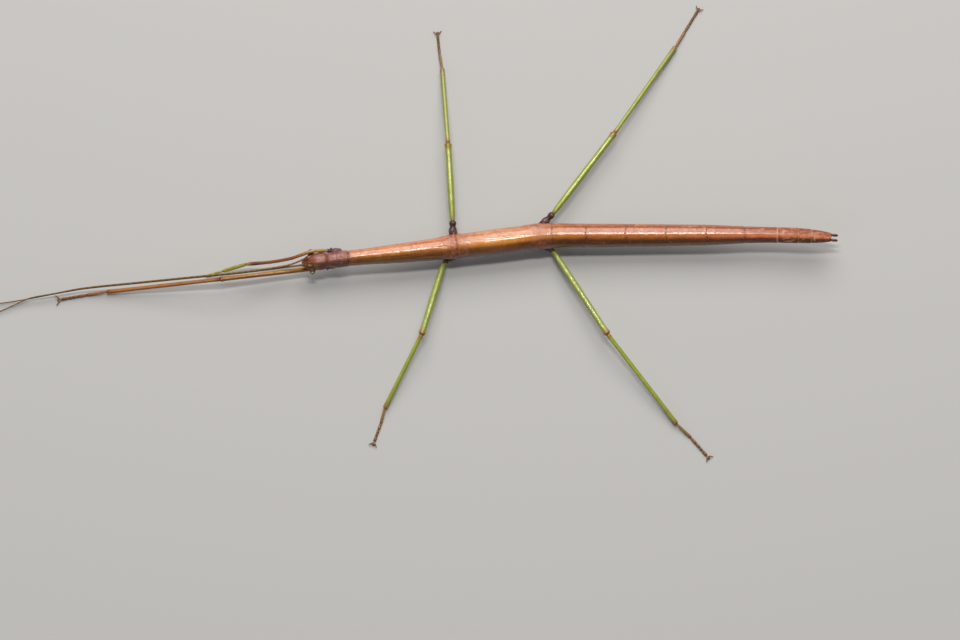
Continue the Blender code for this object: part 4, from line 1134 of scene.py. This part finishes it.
def claws(pair, side):
    """Two hooks either side of a soft pad."""
    turn = math.radians(LEGS[pair, side][2][3])
    ahead = np.array([math.cos(turn), math.sin(turn), 0.0])
    across, up = sideways(ahead)
    root = leg_joints(pair, side)[-1] + ahead * 0.12
    at = np.linspace(CLAW_PAD_FORM[0][0], CLAW_PAD_FORM[-1][0], 26)
    tint = over((0.40, 0.19, 0.06), ((0.17, 0.07, 0.025), np.linspace(0, 1, 26)[:, None]))
    parts = [loft(tube(root + ahead * at[:, None], form_at(at, CLAW_PAD_FORM), 18), tint, 0.5, 0.6)]
    for sign in (-1, 1):
        path, at = spline([root + ahead * 0.10 + up * 0.02] + [
            root + (ahead * forth + across * (sign * aside)) * CLAW_LENGTH[pair] + up * rise
            for forth, aside, rise in HOOK_COURSE
        ], 0.05)
        share = at / at[-1]
        tint = over((0.34, 0.14, 0.045), ((0.045, 0.016, 0.01), 1.1 * share[:, None] ** 1.5))
        parts.append(loft(tube(path, HOOK_RADIUS * (1 - 0.86 * share**1.6), 14), tint, 0.22, 0.1))
    return joined(parts)


# ---- materials ----

BROAD_NOISE = (420, 3, 0.6)
SPECK_NOISE = (5200, 2, 0.5)
PIT_NOISE = (9000, 3, 0.65)
COAT_GAIN = 2.6
DULLEST_COAT = 0.60


def cuticle(name, coat, bump_height, spots):
    """Shell over the painted colour: small pits, broad patches and flecks, with a thin clear coat."""
    material = bpy.data.materials.new(name)
    material.use_nodes = True
    nodes, links = material.node_tree.nodes, material.node_tree.links

    def fill(node, inputs):
        """Sets each input named to a value, or links it from a socket."""
        for label, value in inputs.items():
            if isinstance(value, bpy.types.NodeSocket):
                links.new(value, node.inputs[label])
            else:
                node.inputs[label].default_value = value
        return node.outputs

    def attribute(label, output):
        node = nodes.new("ShaderNodeAttribute")
        node.attribute_name = label
        return node.outputs[output]

    def grains(scale, detail, rough):
        values = {"Vector": place, "Scale": scale, "Detail": detail, "Roughness": rough}
        return fill(nodes.new("ShaderNodeTexNoise"), values)["Fac"]

    def sums(kind, a, b, clamp=False):
        node = nodes.new("ShaderNodeMath")
        node.operation = kind
        node.use_clamp = clamp
        return fill(node, {0: a, 1: b})[0]

    def multiplied(colour, share, value, *stops):
        """The colour times a ramp of the value between two (place, colour) stops."""
        ramp = nodes.new("ShaderNodeValToRGB")
        for element, (position, stop) in zip(ramp.color_ramp.elements, stops):
            element.position = position
            element.color = stop + (1,)
        node = nodes.new("ShaderNodeMix")
        node.data_type = "RGBA"
        node.blend_type = "MULTIPLY"
        return fill(node, {"Factor": share, "A": colour, "B": fill(ramp, {"Fac": value})["Color"]})["Result"]

    place = nodes.new("ShaderNodeTexCoord").outputs["Object"]
    shine, grain = attribute("shine", "Fac"), attribute("grain", "Fac")
    broad, speck, pits = grains(*BROAD_NOISE), grains(*SPECK_NOISE), grains(*PIT_NOISE)
    base = multiplied(
        attribute("tint", "Color"), 0.8, broad, (0.30, (0.80, 0.76, 0.72)), (0.72, (1.12, 1.10, 1.06))
    )
    base = multiplied(base, 1.0, speck, (spots, (1, 1, 1)), (min(spots + 0.10, 0.98), (0.50, 0.42, 0.40)))
    bump_node = fill(nodes.new("ShaderNodeBump"), {
        "Distance": bump_height, "Strength": sums("MULTIPLY", grain, 0.8, True),
        "Height": sums("ADD", pits, speck),
    })
    swing = sums("MULTIPLY", sums("SUBTRACT", speck, 0.5), 0.18)
    fill(nodes["Principled BSDF"], {
        "Base Color": base, "Roughness": sums("ADD", shine, swing, True), "Specular IOR Level": 0.4,
        "Coat Weight": sums("MULTIPLY", sums("SUBTRACT", DULLEST_COAT, shine, True), COAT_GAIN * coat, True),
        "Coat Roughness": 0.13, "Normal": bump_node["Normal"], "Coat Normal": bump_node["Normal"],
    })
    return material


# ---- the one skin ----

CREASE_REACH = 0.45 * MM
CREASE_PASSES = 12
CREASE_SHADE = 0.55


def united(first, others):
    """One closed skin from these, by exact mesh unions."""
    target = painted("insect_skin", first)
    for number, group in enumerate(others):
        tool = painted("tool", group, number + 1)
        modifier = target.modifiers.new("union", "BOOLEAN")
        modifier.operation = "UNION"
        modifier.solver = "MANIFOLD"
        modifier.object = tool
        view = bpy.context.evaluated_depsgraph_get()
        made = bpy.data.meshes.new_from_object(target.evaluated_get(view))
        target.modifiers.clear()
        if len(made.vertices) < len(target.data.vertices) // 2:
            raise RuntimeError("a union failed")
        target.data = made
        bpy.data.objects.remove(tool)
    return target


def fetched(collection, name, width, kind):
    values = np.empty(len(collection) * width, kind)
    collection.foreach_get(name, values)
    return values.reshape(-1, width) if width > 1 else values


def ease_creases(mesh):
    """Rounds off the sharp lines where one form leaves another, and darkens them with painted shade."""
    points = fetched(mesh.vertices, "co", 3, np.float32).astype(float)
    edges = fetched(mesh.edges, "vertices", 2, np.int32)
    corner_edge = fetched(mesh.loops, "edge_index", 1, np.int32)
    source = fetched(mesh.attributes["source"].data, "value", 1, np.int32)
    source = np.repeat(source, fetched(mesh.polygons, "loop_total", 1, np.int32))
    least, most = np.full(len(edges), 10**6), np.full(len(edges), -1)
    np.minimum.at(least, corner_edge, source)
    np.maximum.at(most, corner_edge, source)
    seams = np.unique(edges[least != most])
    tree = kdtree.KDTree(len(seams))
    for k in seams:
        tree.insert(points[k], int(k))
    tree.balance()
    low, high = points[seams].min(0) - CREASE_REACH, points[seams].max(0) + CREASE_REACH
    weights = np.zeros(len(points))
    for i in np.nonzero(((points > low) & (points < high)).all(1))[0]:
        weights[i] = max(0.0, 1 - tree.find(points[i])[2] / CREASE_REACH)
    near = edges[(weights[edges] > 0).any(1)]
    here, there = np.concatenate([near, near[:, ::-1]]).T
    count = np.bincount(here, minlength=len(points))
    active = (weights > 0) & (count > 0)
    for _ in range(CREASE_PASSES):
        total = np.stack([np.bincount(here, column[there], minlength=len(points)) for column in points.T], 1)
        mean = total[active] / count[active][:, None]
        points[active] += (mean - points[active]) * (0.5 * weights[active])[:, None]
    mesh.vertices.foreach_set("co", points.astype(np.float32).ravel())
    tint = mesh.attributes["tint"].data
    rgba = fetched(tint, "color", 4, np.float32)
    shade = weights[fetched(mesh.loops, "vertex_index", 1, np.int32)] ** 1.5
    rgba[:, :3] *= 1 - CREASE_SHADE * shade[:, None]
    tint.foreach_set("color", rgba.ravel())
    mesh.attributes.remove(mesh.attributes["source"])
    mesh.update()


def make_skin(material):
    """The trunk united with the rest. The forms in one group stay clear of each other."""
    legs = [leg(pair, side) for pair, side in LEGS] + [regrown_leg()]
    extras = [part for pair, side in LEGS for part in leg_extras(pair, side)]
    feelers, tails, orbits = [[make(side) for side in SIGN] for make in (feeler, cercus, orbit)]
    groups = [legs[:3] + tails, legs[3:], feelers] + [extras[start::3] for start in range(3)]
    obj = united(body(), [joined(group) for group in groups] + mouth() + [joined(orbits)])
    ease_creases(obj.data)
    obj.data.materials.clear()
    obj.data.materials.append(material)
    return obj


def piece(name, skin, material):
    obj = painted(name, skin)
    obj.data.materials.append(material)
    return obj


def build():
    shell = cuticle("cuticle", 1.0, 0.00003, 0.66)
    plate = cuticle("plate_cuticle", 0.6, 0.00003, 0.62)
    lens = cuticle("eye_lens", 0.8, 0.000008, 0.80)
    horn = cuticle("claw_horn", 0.8, 0.00001, 0.75)
    flesh = [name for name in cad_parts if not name.startswith(("eye_", "claws_", "operculum"))]
    skin = make_skin(shell)
    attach(skin, "root")
    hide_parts(*sorted(flesh))
    for side in SIGN:
        obj = piece("eye_lens_" + side, eye(side), lens)
        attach(obj, "root")
        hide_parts("eye_" + side)
    obj = piece("tail_plate", operculum(), plate)
    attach(obj, "root")
    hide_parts("operculum")
    for pair, side in LEGS:
        obj = piece("claw_pair_%s_%s" % (pair, side), claws(pair, side), horn)
        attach(obj, "root")
        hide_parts("claws_%s_%s" % (pair, side))


# ---- floor, light and camera ----

VIEW_TARGET = (25.92, -26.468, 6.0)
VIEW_ELEVATION = 80.0
VIEW_DISTANCE = 1200.0
VIEW_LENS = 159.9
LIGHT_TARGET = (0.02, 0, 0)
# name, position, size, power and colour
LIGHTS = (
    ("key", (0.10, 0.88, 0.88), (1.0, 0.8), 10.5, (1.0, 0.97, 0.93)),
    ("top", (0.03, 0.29, 1.20), (0.45, 0.13), 5.5, (1.0, 0.97, 0.94)),
    ("fill", (-0.8, -0.7, 0.7), (0.8, 0.8), 1.0, (0.92, 0.96, 1.0)),
)


def stage():
    bpy.ops.mesh.primitive_plane_add(size=6.0, location=(0, 0, 0))
    floor = bpy.context.object
    floor.name = "floor"
    material = bpy.data.materials.new("floor")
    material.use_nodes = True
    shader = material.node_tree.nodes["Principled BSDF"]
    shader.inputs["Base Color"].default_value = (0.60, 0.595, 0.58, 1)
    shader.inputs["Roughness"].default_value = 0.75
    floor.data.materials.append(material)
    world = bpy.data.worlds.new("studio")
    world.use_nodes = True
    background = world.node_tree.nodes["Background"]
    background.inputs["Color"].default_value = (0.92, 0.95, 1.0, 1)
    background.inputs["Strength"].default_value = 0.15
    bpy.context.scene.world = world
    bpy.context.scene.view_settings.view_transform = "Standard"


def aimed(name, data, position, direction):
    obj = placed(name, data)
    obj.location = position
    obj.rotation_mode = "QUATERNION"
    obj.rotation_quaternion = direction.to_track_quat("-Z", "Y")
    return obj


def area_light(name, position, size, power, colour):
    data = bpy.data.lights.new(name, "AREA")
    data.shape = "RECTANGLE"
    data.size, data.size_y = size
    data.energy = power
    data.color = colour
    aimed(name, data, position, Vector(LIGHT_TARGET) - Vector(position))


def camera():
    data = bpy.data.cameras.new("camera")
    data.sensor_width = 36.0
    data.lens = VIEW_LENS
    data.clip_start = 0.01
    data.clip_end = 20.0
    tilt = math.radians(VIEW_ELEVATION)
    back = Vector((0, -math.cos(tilt), math.sin(tilt)))
    position = Vector(VIEW_TARGET) * MM + back * (VIEW_DISTANCE * MM)
    bpy.context.scene.camera = aimed("camera", data, position, -back)


build()
stage()
for light in LIGHTS:
    area_light(*light)
camera()
